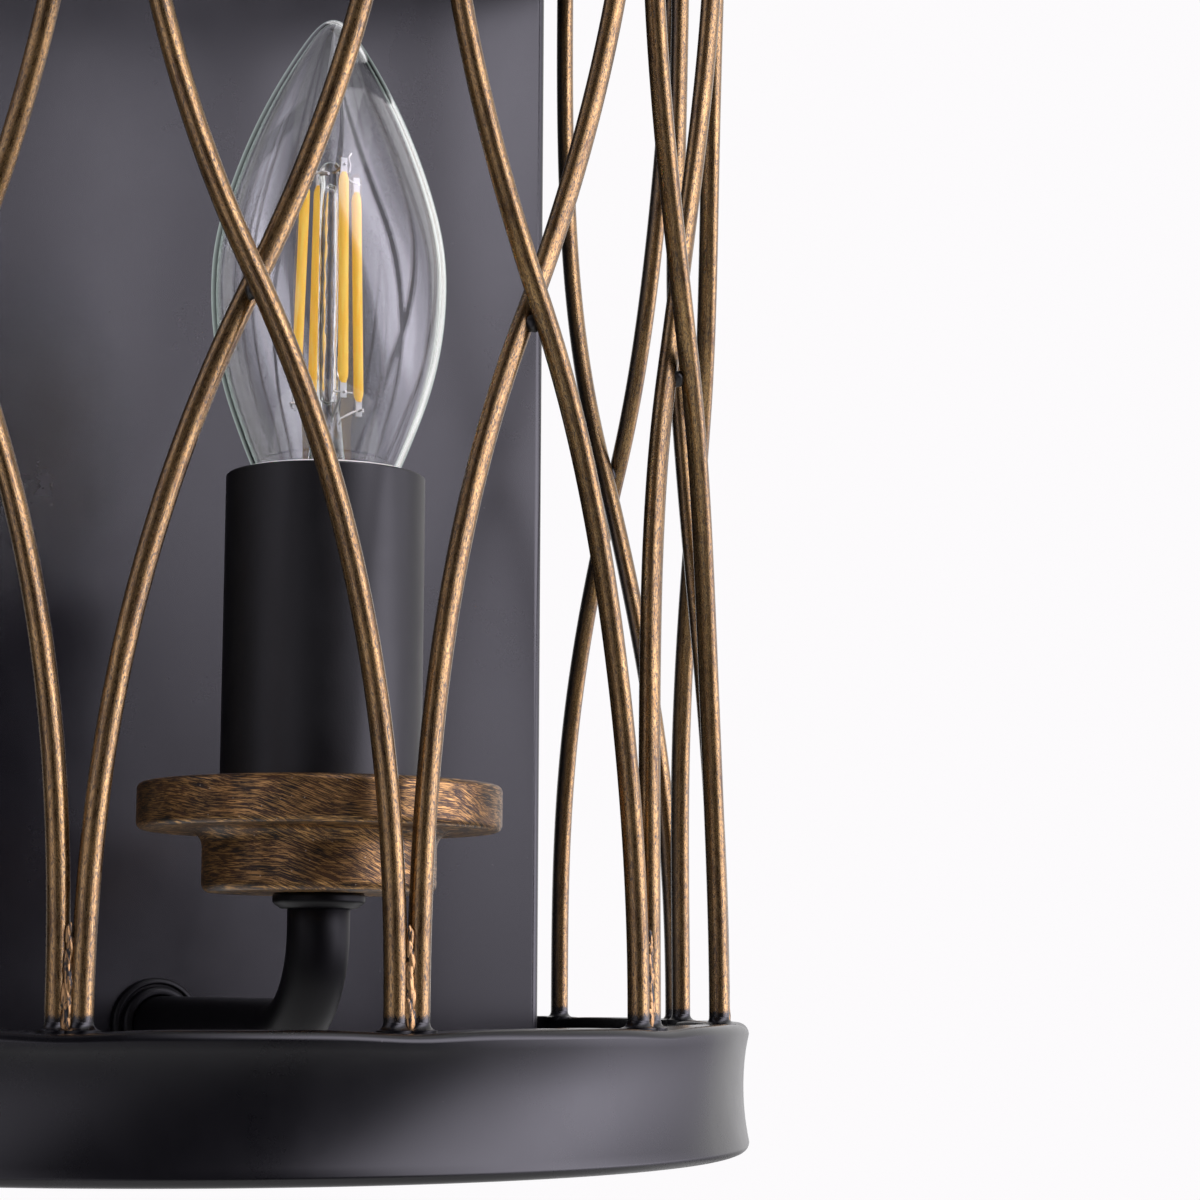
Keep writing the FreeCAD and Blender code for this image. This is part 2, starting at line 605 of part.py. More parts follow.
# Insulated leads: down from the terminal block, along the arm and up into the lampholder
lead_solids = []
lead_top = floor_z.value
for side in (-1, 1):
    x = side * size("lead_spacing").value / 2
    drop_y = -(size("strap_sheet").value + size("block_high").value)
    start_z = block_z.value - size("block_width").value / 2
    small, large = size("lead_bend").value, size("arm_bend").value
    corner = math.sqrt(0.5)
    level, rise_y = arm_z.value, candle_y.value
    points = [FreeCAD.Vector(x, drop_y, start_z), FreeCAD.Vector(x, drop_y, level + small),
              FreeCAD.Vector(x, drop_y - small * (1 - corner), level + small * (1 - corner)),
              FreeCAD.Vector(x, drop_y - small, level), FreeCAD.Vector(x, rise_y + large, level),
              FreeCAD.Vector(x, rise_y + large * (1 - corner), level + large * (1 - corner)),
              FreeCAD.Vector(x, rise_y, level + large), FreeCAD.Vector(x, rise_y, lead_top)]
    path = Part.Wire([Part.LineSegment(points[0], points[1]).toShape(),
                      Part.Arc(points[1], points[2], points[3]).toShape(),
                      Part.LineSegment(points[3], points[4]).toShape(),
                      Part.Arc(points[4], points[5], points[6]).toShape(),
                      Part.LineSegment(points[6], points[7]).toShape()])
    ring = Part.Wire([Part.makeCircle(size("lead_size").value / 2, points[0],
                                      FreeCAD.Vector(0, 0, -1))])
    lead_solids.append(swept(path, ring, FreeCAD.Vector(1, 0, 0)))
made("lamp_leads", Part.makeCompound(lead_solids))

# Plan of the cage: a front arc, a flatter arc on each side and a tight corner at each rear end
half_width = size("box_width").value / 2 + size("oval_side_room").value
reach = size("oval_reach").value
front_radius = half_width * FRONT_RADIUS_SHARE
oval_y = box_front.value - size("oval_behind_front").value
front_centre = reach - front_radius
side_radius = ((half_width ** 2 + front_centre ** 2 - front_radius ** 2)
               / (2 * (half_width - front_radius)))
side_centre = half_width - side_radius
front_sweep = math.atan2(-side_centre, front_centre)
front_arc = front_radius * front_sweep
corner_radius = size("oval_corner").value
rear_y = -size("band_from_wall").value
corner_y = rear_y - corner_radius
corner_x = side_centre + math.sqrt((side_radius - corner_radius) ** 2 - (corner_y - oval_y) ** 2)
side_end = math.atan2(corner_y - oval_y, corner_x - side_centre)
side_length = side_radius * (math.pi / 2 - front_sweep + side_end)


def on_oval(along, outward=0.0, z=0.0):
    """Point at a distance along the oval from its front, moved outward and raised."""
    hand = 1 if along >= 0 else -1
    if abs(along) <= front_arc:
        angle = along / front_radius
        radius, centre = front_radius + outward, FreeCAD.Vector(0, oval_y - front_centre, z)
    else:
        angle = hand * (front_sweep + (abs(along) - front_arc) / side_radius)
        radius, centre = side_radius + outward, FreeCAD.Vector(hand * side_centre, oval_y, z)
    return centre + FreeCAD.Vector(math.sin(angle), -math.cos(angle), 0) * radius


def oval_path():
    """The line that a band's section follows, from one side of the wall box to the other."""
    side = size("box_width").value / 2
    centre = FreeCAD.Vector(corner_x, corner_y, 0)
    half_turn = (math.pi / 2 + side_end) / 2
    start = FreeCAD.Vector(side, rear_y, 0)
    run_end = FreeCAD.Vector(corner_x, rear_y, 0)
    turn = centre + FreeCAD.Vector(math.cos(half_turn), math.sin(half_turn), 0) * corner_radius
    side_start = centre + FreeCAD.Vector(math.cos(side_end), math.sin(side_end), 0) * corner_radius
    joint, middle = on_oval(front_arc), on_oval(front_arc + side_length / 2)
    flip = lambda p: FreeCAD.Vector(-p.x, p.y, p.z)
    right = [Part.LineSegment(start, run_end), Part.Arc(run_end, turn, side_start),
             Part.Arc(side_start, middle, joint)]
    front = [Part.Arc(joint, on_oval(0), flip(joint))]
    left = [Part.Arc(flip(joint), flip(middle), flip(side_start)),
            Part.Arc(flip(side_start), flip(turn), flip(run_end)),
            Part.LineSegment(flip(run_end), flip(start))]
    return Part.Wire([edge.toShape() for edge in right + front + left])


def band(label, low):
    """A rolled band with a hollowed outer face, standing on a height."""
    inside, outside = size("band_inside").value, size("band_outside").value
    waist, lip, high = size("band_waist").value, size("band_lip").value, size("band_height").value
    side = size("box_width").value / 2

    def at(out, up):
        return FreeCAD.Vector(side, rear_y + out, up)

    soft = lip * (1 - math.sqrt(0.5))
    section = Part.Wire([
        Part.LineSegment(at(-inside, 0), at(outside - lip, 0)).toShape(),
        Part.Arc(at(outside - lip, 0), at(outside - soft, soft), at(outside, lip)).toShape(),
        Part.Arc(at(outside, lip), at(outside - waist, high / 2), at(outside, high - lip)).toShape(),
        Part.Arc(at(outside, high - lip), at(outside - soft, high - soft),
                 at(outside - lip, high)).toShape(),
        Part.LineSegment(at(outside - lip, high), at(-inside, high)).toShape(),
        Part.LineSegment(at(-inside, high), at(-inside, 0)).toShape()])
    feature = made(label, swept(oval_path(), section, FreeCAD.Vector(0, 0, 1)))
    place(feature, 0, 0, low)
    return feature


band("bottom_band", cage_bottom - size("band_height"))
band("top_band", cage_top)


def cage_rod(label, foot, way):
    """A rod from a foot on the lower band to the next foot, right or left, under the upper band."""
    spacing = 2 * (front_arc + side_length) / CAGE_BAYS
    thick = size("rod_size").value
    stand_off = (thick + size("rod_pair_gap").value) / 2
    start = foot * spacing + way * stand_off
    end = (foot + way) * spacing - way * stand_off
    apart = (thick + size("rod_cross_gap").value) / 2
    middle_run = ROD_STATION_SHARES[len(ROD_STATION_SHARES) // 2]
    points = []
    for share in ROD_STATION_SHARES:
        near = min(share, 1 - share)
        bent = 0.5 * (2 * near) ** ROD_BEND_POWER
        travel = bent if share < 0.5 else 1 - bent
        wave = math.sin(math.pi * share) / math.sin(math.pi * middle_run)
        outward = -size("rod_draw_in").value * wave ** 2 - way * apart * wave ** 4
        points.append(on_oval(start + (end - start) * travel, outward,
                              cage_bottom.value + size("rod_height").value * share))
    ring = Part.Wire([Part.makeCircle(thick / 2, points[0], points[1] - points[0])])
    made(label, swept(smooth_path(points), ring))


for number in range(CAGE_BAYS):
    first = number - CAGE_BAYS // 2
    cage_rod("rod_right_%d" % (number + 1), first, 1)
    cage_rod("rod_left_%d" % (number + 1), first + 1, -1)

doc.recompute()
NODES = ["wall_box", "wall_strap", "side_screws", "terminal_block", "terminal_screws",
         "earth_washer", "earth_screw", "rosette", "arm_washer", "arm_nut", "arm", "arm_collar",
         "drip_pan", "threaded_tube", "lampholder", "screw_shell", "centre_contact",
         "candle_sleeve", "bulb_contact", "bulb_insulator", "bulb_cap", "bulb_glass", "bulb_stem",
         "filaments", "filament_leads", "lamp_leads", "bottom_band", "top_band"]
NODES += ["rod_%s_%d" % (way, n + 1) for n in range(CAGE_BAYS) for way in ("right", "left")]
for feature in doc.Objects:
    assert not {"Invalid", "Error"} & set(feature.State), (feature.Name, feature.State)
os.makedirs("parts", exist_ok=True)
for node in NODES:
    found = [o for o in doc.Objects if o.Label == node]
    assert len(found) == 1, node
    shape = found[0].Shape
    assert not shape.isNull() and shape.isValid() and shape.Volume > 0, node
    shape.exportStep(os.path.join("parts", node + ".step"))
    box_of = shape.optimalBoundingBox(True, False)
    print("%-16s solids %d volume %.1f x %.1f..%.1f y %.1f..%.1f z %.1f..%.1f" % (
        node, len(shape.Solids), shape.Volume, box_of.XMin, box_of.XMax, box_of.YMin, box_of.YMax,
        box_of.ZMin, box_of.ZMax))
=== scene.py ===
"""Looks of the caged candle wall lamp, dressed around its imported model.

All shapes are worked out in millimetres in the part's own frame: the wall is the plane y = 0,
the room is on the -Y side and +Z is up. They are brought to metres when a piece is finished.
"""
from __future__ import annotations

import json
import logging
import math
from dataclasses import dataclass, field
from enum import Enum
from typing import Callable, Optional, Sequence

import bmesh
import bpy
from mathutils import Matrix, Vector, noise

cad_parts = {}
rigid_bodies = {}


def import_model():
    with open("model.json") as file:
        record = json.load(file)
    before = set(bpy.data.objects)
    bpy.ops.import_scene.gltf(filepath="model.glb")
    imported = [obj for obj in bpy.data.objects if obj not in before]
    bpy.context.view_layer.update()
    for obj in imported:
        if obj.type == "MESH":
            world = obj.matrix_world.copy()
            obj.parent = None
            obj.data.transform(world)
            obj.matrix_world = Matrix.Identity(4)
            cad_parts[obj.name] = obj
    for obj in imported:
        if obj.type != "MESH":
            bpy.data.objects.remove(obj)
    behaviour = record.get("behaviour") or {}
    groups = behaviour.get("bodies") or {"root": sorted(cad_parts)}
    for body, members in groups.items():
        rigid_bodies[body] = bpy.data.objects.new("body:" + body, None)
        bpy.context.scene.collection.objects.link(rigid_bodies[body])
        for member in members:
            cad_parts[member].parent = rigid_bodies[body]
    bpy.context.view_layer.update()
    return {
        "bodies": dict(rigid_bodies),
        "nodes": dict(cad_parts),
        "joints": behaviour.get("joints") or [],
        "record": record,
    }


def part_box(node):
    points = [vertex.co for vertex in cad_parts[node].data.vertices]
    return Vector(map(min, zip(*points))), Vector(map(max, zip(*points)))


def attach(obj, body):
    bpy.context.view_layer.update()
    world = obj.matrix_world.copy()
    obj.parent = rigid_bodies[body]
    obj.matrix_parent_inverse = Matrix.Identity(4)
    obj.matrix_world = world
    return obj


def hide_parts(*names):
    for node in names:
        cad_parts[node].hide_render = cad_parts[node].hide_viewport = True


# One millimetre in metres.
MM = 0.001
# Points closer together than this, in millimetres, are one.
MERGE = 0.002
# A point that lies this close to a corner's radius and height, in millimetres, is on its ring.
NEAR = 0.01
# Faces that meet at more than this keep a sharp edge between them.
SHARP = math.radians(38)
UPRIGHT = Vector((0, 0, 1))
# The photograph's width in pixels.
PICTURE = 1200
# The rise of one turn of the bulb's thread, in millimetres.
THREAD_PITCH = 2.822
LOG = logging.getLogger("wall_lamp")
FRAME: dict = {}
Triple = tuple[float, float, float]
Colour = Triple
Socket = bpy.types.NodeSocket
Stops = Sequence[tuple[float, "float | Colour"]]
Pairs = tuple[tuple[float, float], ...]


class Body(Enum):
    """The bodies of the lamp that move against each other."""

    LAMP = "lamp"
    SLEEVE = "sleeve"
    FOOT = "bulb_foot"
    BULB = "bulb"


class Way(Enum):
    """Which way a cage rod leans as it rises, seen from the room."""

    RIGHT = 1
    LEFT = -1


# Finishes


class NodeBench:
    """The bench on which one finish is laid out as nodes."""

    def __init__(self, name: str) -> None:
        """Start a finish that holds only its surface shader.

        Args:
            name: the finish's name.
        """
        self.material: bpy.types.Material = bpy.data.materials.new(name)
        self.material.use_nodes = True
        self.tree: bpy.types.NodeTree = self.material.node_tree
        self.shader: bpy.types.Node = self.tree.nodes["Principled BSDF"]

    def fix(self, **numbers: "float | Colour") -> None:
        """Set plain numbers and colours on the shader's own sockets, with _ for a space.

        Args:
            numbers: the numbers and colours, by the names of their sockets.
        """
        for name, number in numbers.items():
            socket = self.shader.inputs[name.replace("_", " ")]
            socket.default_value = (*number, 1.0) if isinstance(number, tuple) else number

    def drive(self, name: str, socket: Socket) -> None:
        """Let a socket drive one of the shader's inputs."""
        self.tree.links.new(socket, self.shader.inputs[name])

    def _feed(self, socket: Socket, value: "Socket | float | Colour") -> None:
        """Give an input another socket, or a plain number or colour.

        Args:
            socket: the input.
            value: what it is given.
        """
        if isinstance(value, bpy.types.NodeSocket):
            self.tree.links.new(value, socket)
        elif isinstance(value, tuple):
            socket.default_value = (*value, 1.0)
        elif socket.type == "RGBA":
            socket.default_value = (value, value, value, 1.0)
        else:
            socket.default_value = value

    def where(self, grain: Triple = (1.0, 1.0, 1.0), turn: Triple = (0.0, 0.0, 0.0),
              follow: str = "") -> Socket:
        """Place of a surface point, counted in grains.

        Args:
            grain: size of one grain in millimetres, along each axis.
            turn: turn of the grain's axes, in degrees.
            follow: the piece's own attribute to follow, in place of the object's space.

        Returns:
            The place as a vector socket.
        """
        if follow:
            source = self.tree.nodes.new("ShaderNodeAttribute")
            source.attribute_name = follow
            place, unit = source.outputs["Vector"], 1.0
        else:
            source = self.tree.nodes.new("ShaderNodeTexCoord")
            place, unit = source.outputs["Object"], MM
        mapping = self.tree.nodes.new("ShaderNodeMapping")
        mapping.vector_type = "TEXTURE"
        mapping.inputs["Scale"].default_value = [size * unit for size in grain]
        mapping.inputs["Rotation"].default_value = [math.radians(angle) for angle in turn]
        self.tree.links.new(place, mapping.inputs["Vector"])
        return mapping.outputs["Vector"]

    def cloud(self, place: Socket, detail: float = 2.0, rough: float = 0.5,
              twist: float = 0.0) -> Socket:
        """Soft noise of one grain, from 0 to 1.

        Args:
            place: place of the surface point, in grains.
            detail: how many finer layers it has.
            rough: how strong the finer layers are.
            twist: how far it is twisted in itself.

        Returns:
            The noise as a socket.
        """
        node = self.tree.nodes.new("ShaderNodeTexNoise")
        node.inputs["Scale"].default_value = 1.0
        node.inputs["Detail"].default_value = detail
        node.inputs["Roughness"].default_value = rough
        node.inputs["Distortion"].default_value = twist
        self.tree.links.new(place, node.inputs["Vector"])
        return node.outputs[0]

    def specks(self, place: Socket) -> Socket:
        """Distance to the nearest of many scattered points, in grains.

        Args:
            place: place of the surface point, in grains.

        Returns:
            The distance as a socket.
        """
        node = self.tree.nodes.new("ShaderNodeTexVoronoi")
        node.inputs["Scale"].default_value = 1.0
        self.tree.links.new(place, node.inputs["Vector"])
        return node.outputs["Distance"]

    def slant(self) -> Socket:
        """How edge-on the glass is seen, from 0 to 1."""
        node = self.tree.nodes.new("ShaderNodeLayerWeight")
        return node.outputs["Facing"]

    def axis(self, place: Socket, name: str) -> Socket:
        """One axis of a place, by its letter.

        Args:
            place: the place.
            name: the axis's letter.

        Returns:
            The result as a socket.
        """
        node = self.tree.nodes.new("ShaderNodeSeparateXYZ")
        self.tree.links.new(place, node.inputs[0])
        return node.outputs[name]

    def sum(self, operation: str, first: "Socket | float", second: "Socket | float") -> Socket:
        """One step of arithmetic between two values.

        Args:
            operation: the step, by Blender's name for it.
            first: the first value.
            second: the second value.

        Returns:
            The result as a socket.
        """
        node = self.tree.nodes.new("ShaderNodeMath")
        node.operation = operation
        self._feed(node.inputs[0], first)
        self._feed(node.inputs[1], second)
        return node.outputs[0]

    def ramp(self, factor: Socket, stops: Stops) -> Socket:
        """Turn a value into a colour or a grey, through stops of place and colour.

        Args:
            factor: the value, from 0 to 1.
            stops: the stops, in rising order.

        Returns:
            The colour as a socket.
        """
        node = self.tree.nodes.new("ShaderNodeValToRGB")
        band = node.color_ramp
        while len(band.elements) < len(stops):
            band.elements.new(1.0)
        for element, (place, tone) in zip(band.elements, stops):
            element.position = place
            element.color = (*tone, 1.0) if isinstance(tone, tuple) else (tone, tone, tone, 1.0)
        self.tree.links.new(factor, node.inputs[0])
        return node.outputs[0]

    def mix(self, factor: "Socket | float", first: "Socket | float | Colour",
            second: "Socket | float | Colour") -> Socket:
        """Lay a second colour over a first one.

        Args:
            factor: how much of the second colour shows, from 0 to 1.
            first: the colour below.
            second: the colour on top.

        Returns:
            The mixed colour as a socket.
        """
        node = self.tree.nodes.new("ShaderNodeMix")
        node.data_type = "RGBA"
        self._feed(node.inputs[0], factor)
        self._feed(node.inputs[6], first)
        self._feed(node.inputs[7], second)
        return node.outputs[2]

    def relief(self, height: Socket, depth: float, before: Optional[Socket] = None) -> Socket:
        """Raise a surface by a height map of a depth in millimetres.

        Args:
            height: the height map, from 0 to 1.
            depth: how far apart 0 and 1 stand, in millimetres.
            before: the relief that this one is added to.

        Returns:
            The relief as a normal socket.
        """
        node = self.tree.nodes.new("ShaderNodeBump")
        node.inputs["Distance"].default_value = depth * MM
        self.tree.links.new(height, node.inputs["Height"])
        if before is not None:
            self.tree.links.new(before, node.inputs["Normal"])
        return node.outputs["Normal"]


def even(size: float) -> Triple:
    """A grain of one size along every axis."""
    return (size, size, size)


@dataclass(frozen=True)
class Finish:
    """A finish that pieces share, laid out once."""

    name: str

    def lay(self, bench: NodeBench) -> None:
        """Lay the finish out on its bench."""
        raise NotImplementedError

    def material(self) -> bpy.types.Material:
        """The finish as a material, made the first time that it is asked for.

        Returns:
            The material.
        """
        ready = bpy.data.materials.get(self.name)
        if ready is None:
            bench = NodeBench(self.name)
            self.lay(bench)
            ready = bench.material
        return ready


@dataclass(frozen=True)
class SatinBlack(Finish):
    """Satin black lacquer with a faint orange peel, soft smears and dust."""

    tone: Colour
    worn: Colour
    rough: float
    peel: float
    gloss: float = 0.5
    swell_share: float = 9.0
    smear_grain: Triple = (26.0, 26.0, 34.0)
    fine_grain: float = 0.9
    fine_share: float = 0.03
    dust: Colour = (0.20, 0.19, 0.19)
    dust_apart: float = 6.5
    dust_share: float = 0.30

    def lay(self, bench: NodeBench) -> None:
        """Lay the lacquer out: tone, sheen and peel.

        Args:
            bench: the bench that it is laid out on.
        """
        smear = bench.cloud(bench.where(self.smear_grain), detail=4.0, rough=0.62, twist=0.4)
        swell = bench.cloud(bench.where(self.smear_grain), detail=0.0, rough=0.5)
        fine = bench.cloud(bench.where(even(self.fine_grain)), detail=1.0, rough=0.5)
        dust = bench.ramp(bench.specks(bench.where(even(self.dust_apart))),
                          [(0.012, 1.0), (0.024, 0.0)])
        tone = bench.mix(bench.ramp(smear, [(0.35, 0.0), (0.75, 1.0)]), self.tone, self.worn)
        tone = bench.mix(bench.sum("MULTIPLY", dust, self.dust_share), tone, self.dust)
        bench.drive("Base Color", tone)
        sheen = bench.ramp(smear, [(0.25, self.rough - 0.04), (0.8, self.rough + 0.07)])
        bench.drive("Roughness", bench.mix(self.fine_share, sheen,
                                           bench.ramp(fine, [(0.3, 0.25), (0.7, 0.6)])))
        wide = bench.relief(swell, self.peel * self.swell_share)
        bench.drive("Normal", bench.relief(fine, self.peel, wide))
        bench.fix(IOR=1.5, Specular_IOR_Level=self.gloss)


@dataclass(frozen=True)
class RubbedBronze(Finish):
    """Gold bronze rubbed over black on the cage rods, with black left at their feet."""

    length: float = 206.0
    gold: Colour = (0.335, 0.190, 0.064)
    deep: Colour = (0.105, 0.052, 0.019)
    black: Colour = (0.006, 0.0045, 0.0034)
    hair: Colour = (0.48, 0.33, 0.145)
    tone_grain: Triple = (1.6, 1.6, 9.0)
    fleck_grain: Triple = (0.20, 0.20, 0.60)
    hair_grain: Triple = (0.13, 0.13, 2.4)
    pit_depth: float = 0.018
    hair_depth: float = 0.006

    def lay(self, bench: NodeBench) -> None:
        """Lay the rubbed metal out along the rod's own attribute.

        Args:
            bench: the bench that it is laid out on.
        """
        straight = bench.where(follow="straight")
        tone = bench.cloud(bench.where(self.tone_grain, follow="straight"), detail=3.0, rough=0.6)
        fleck = bench.cloud(bench.where(self.fleck_grain, follow="straight"),
                            detail=4.0, rough=0.72, twist=0.3)
        hair = bench.cloud(bench.where(self.hair_grain, follow="straight"), detail=2.0, rough=0.6)
        metal = bench.mix(bench.ramp(tone, [(0.34, 0.0), (0.66, 1.0)]), self.deep, self.gold)
        metal = bench.mix(bench.ramp(hair, [(0.42, 0.0), (0.62, 0.5)]), metal, self.hair)
        pits = bench.ramp(fleck, [(0.38, 1.0), (0.52, 0.0)])
        out = bench.sum("ADD", bench.axis(straight, "X"), bench.sum("MULTIPLY", fleck, 1.5))
        back = bench.ramp(bench.sum("ADD", bench.sum("MULTIPLY", out, 0.3), 0.42),
                          [(0.18, 1.0), (0.45, 0.0)])
        along = bench.axis(straight, "Z")
        foot = bench.sum("MINIMUM", along, bench.sum("SUBTRACT", self.length, along))
        foot = bench.sum("ADD", foot, bench.sum("MULTIPLY", fleck, -3.2))
        bare = bench.ramp(bench.sum("MULTIPLY", foot, 0.1), [(0.0, 1.0), (0.03, 0.0)])
        dark = bench.sum("MAXIMUM", bench.sum("MULTIPLY", pits, 0.86), bench.sum("MAXIMUM", back, bare))
        bench.drive("Base Color", bench.mix(dark, metal, self.black))
        bench.drive("Metallic", bench.ramp(dark, [(0.0, 1.0), (1.0, 0.25)]))
        bench.drive("Roughness", bench.ramp(fleck, [(0.3, 0.34), (0.7, 0.21)]))
        bench.drive("Normal", bench.relief(fleck, self.pit_depth, bench.relief(hair, self.hair_depth)))
        bench.fix(IOR=1.5, Coat_Weight=0.45, Coat_Roughness=0.22)


@dataclass(frozen=True)
class BrushedBronze(Finish):
    """Dark bronze lacquer of the drip pan, wiped on in hair-thin strokes."""

    dark: Colour = (0.007, 0.0035, 0.0018)
    brown: Colour = (0.070, 0.031, 0.011)
    gold: Colour = (0.60, 0.335, 0.120)
    mote: Colour = (0.55, 0.45, 0.36)
    mote_apart: float = 1.5
    mote_share: float = 0.5
    level_grain: Triple = (2.8, 2.8, 0.13)
    level_turn: Triple = (0.0, 3.0, 0.0)
    slant_grain: Triple = (2.8, 2.8, 0.16)
    slant_turn: Triple = (0.0, 24.0, 0.0)
    blotch_grain: Triple = (5.0, 5.0, 3.4)
    side_grain: Triple = (11.0, 11.0, 8.0)
    stroke_depth: float = 0.022
    blotch_depth: float = 0.03

    def lay(self, bench: NodeBench) -> None:
        """Lay two sets of strokes over a blotchy brown ground.

        Args:
            bench: the bench that it is laid out on.
        """
        level = bench.cloud(bench.where(self.level_grain, self.level_turn),
                            detail=3.0, rough=0.6, twist=0.8)
        slant = bench.cloud(bench.where(self.slant_grain, self.slant_turn),
                            detail=3.0, rough=0.6, twist=0.9)
        blotch = bench.cloud(bench.where(self.blotch_grain), detail=4.0, rough=0.6, twist=0.4)
        side = bench.cloud(bench.where(self.side_grain), detail=1.0, rough=0.5)
        strokes = bench.mix(bench.ramp(side, [(0.42, 0.0), (0.58, 1.0)]), level, slant)
        ground = bench.mix(bench.ramp(blotch, [(0.36, 0.0), (0.64, 1.0)]), self.dark, self.brown)
        worn = bench.ramp(strokes, [(0.48, 0.0), (0.60, 0.95)])
        worn = bench.mix(bench.ramp(blotch, [(0.30, 0.45), (0.60, 1.0)]), 0.0, worn)
        tone = bench.mix(worn, ground, self.gold)
        mote = bench.ramp(bench.specks(bench.where(even(self.mote_apart))),
                          [(0.05, 1.0), (0.09, 0.0)])
        mote = bench.sum("MULTIPLY", mote, self.mote_share)
        bench.drive("Base Color", bench.mix(mote, tone, self.mote))
        bench.drive("Metallic", bench.ramp(strokes, [(0.40, 0.25), (0.62, 0.85)]))
        bench.drive("Roughness", bench.ramp(strokes, [(0.35, 0.44), (0.65, 0.30)]))
        wide = bench.relief(blotch, self.blotch_depth)
        bench.drive("Normal", bench.relief(strokes, self.stroke_depth, wide))


@dataclass(frozen=True)
class WeldScale(Finish):
    """Black scale on a weld, rubbed through to bronze here and there."""

    bare: float
    scale: Colour = (0.004, 0.0032, 0.0030)
    bronze: Colour = (0.40, 0.235, 0.105)
    grain: Triple = (0.5, 0.5, 2.2)
    crust: float = 0.06

    def lay(self, bench: NodeBench) -> None:
        """Lay the scale out with bronze where it is rubbed through.

        Args:
            bench: the bench that it is laid out on.
        """
        cloud = bench.cloud(bench.where(self.grain), detail=4.0, rough=0.65, twist=0.5)
        rubbed = bench.ramp(cloud, [(self.bare, 0.0), (self.bare + 0.06, 1.0)])
        bench.drive("Base Color", bench.mix(rubbed, self.scale, self.bronze))
        bench.drive("Metallic", bench.sum("MULTIPLY", rubbed, 0.9))
        bench.drive("Roughness", bench.ramp(cloud, [(0.3, 0.42), (0.7, 0.24)]))
        bench.drive("Normal", bench.relief(cloud, self.crust))


@dataclass(frozen=True)
class Moulded(Finish):
    """Moulded plastic or ceramic with a fine skin."""

    tone: Colour
    rough: float
    skin: float
    scuffed: float
    waxy: float = 0.0
    scuff: Colour = (0.30, 0.29, 0.28)
    scuff_grain: Triple = (0.5, 6.0, 0.6)
    scuff_turn: Triple = (20.0, 0.0, 35.0)
    cloud_grain: Triple = (9.0, 9.0, 12.0)
    skin_grain: float = 0.35

    def lay(self, bench: NodeBench) -> None:
        """Lay the plastic out: a slightly uneven tone, a fine skin and faint scuffs.

        Args:
            bench: the bench that it is laid out on.
        """
        cloud = bench.cloud(bench.where(self.cloud_grain), detail=3.0, rough=0.6, twist=0.3)
        grain = bench.cloud(bench.where(even(self.skin_grain)), detail=2.0, rough=0.6)
        scuff = bench.cloud(bench.where(self.scuff_grain, self.scuff_turn),
                            detail=4.0, rough=0.7, twist=0.4)
        lighter: Colour = tuple(min(1.0, part * 1.35 + 0.001) for part in self.tone)
        tone = bench.mix(bench.ramp(cloud, [(0.3, 0.0), (0.75, 1.0)]), self.tone, lighter)
        marks = bench.ramp(scuff, [(0.64, 0.0), (0.76, 1.0)])
        bench.drive("Base Color", bench.mix(bench.sum("MULTIPLY", marks, self.scuffed), tone,
                                            self.scuff))
        bench.drive("Roughness", bench.ramp(cloud, [(0.25, self.rough), (0.8, self.rough + 0.1)]))
        bench.drive("Normal", bench.relief(grain, self.skin))
        bench.fix(IOR=1.48, Subsurface_Weight=self.waxy, Subsurface_Scale=0.001)


@dataclass(frozen=True)
class Plated(Finish):
    """Plated or drawn metal with hair scratches and a little tarnish."""

    tone: Colour
    tarnish: Colour
    rough: float
    scratch: float = 0.006
    patch_grain: float = 4.0
    hair_grain: Triple = (0.12, 0.12, 4.0)
    hair_turn: Triple = (0.0, 12.0, 0.0)

    def lay(self, bench: NodeBench) -> None:
        """Lay the metal out: tarnish in patches, and scratches in the sheen.

        Args:
            bench: the bench that it is laid out on.
        """
        patch = bench.cloud(bench.where(even(self.patch_grain)), detail=5.0, rough=0.65, twist=0.5)
        hair = bench.cloud(bench.where(self.hair_grain, self.hair_turn), detail=3.0, rough=0.6)
        bench.drive("Base Color", bench.mix(bench.ramp(patch, [(0.42, 0.0), (0.72, 0.8)]),
                                            self.tone, self.tarnish))
        sheen = bench.ramp(patch, [(0.3, self.rough), (0.8, self.rough + 0.22)])
        scratched = bench.ramp(hair, [(0.3, 0.15), (0.7, 0.5)])
        bench.drive("Roughness", bench.mix(0.4, sheen, scratched))
        bench.drive("Normal", bench.relief(hair, self.scratch))
        bench.fix(Metallic=1.0)


@dataclass(frozen=True)
class ClearGlass(Finish):
    """Clear glass, faintly rippled where asked for, whose edge-on rim glows with painted light."""

    tone: Colour = (0.985, 0.995, 0.990)
    ripple: float = 0.012
    rough: float = 0.0
    # How brightly the edge-on rim glows with painted light; the glass is no lamp.
    edge: float = 0.0
    grain: float = 7.0
    painted_rim_glow_colour: Colour = (0.72, 0.86, 0.80)

    def lay(self, bench: NodeBench) -> None:
        """Lay the glass out: a clear, hardly uneven body whose edge-on rim glows with painted light.

        Args:
            bench: the bench that it is laid out on.
        """
        wave = bench.cloud(bench.where((self.grain, self.grain, self.grain * 2.5)),
                           detail=1.0, rough=0.4)
        bench.drive("Normal", bench.relief(wave, self.ripple))
        # Painted light: the glass glows pale where it is seen edge-on.
        bench.drive("Emission Strength", bench.ramp(bench.slant(), [(0.70, 0.0), (0.97, self.edge)]))
        bench.fix(Base_Color=self.tone, Roughness=self.rough, IOR=1.5, Transmission_Weight=1.0,
                  Specular_IOR_Level=0.8, Emission_Color=self.painted_rim_glow_colour)


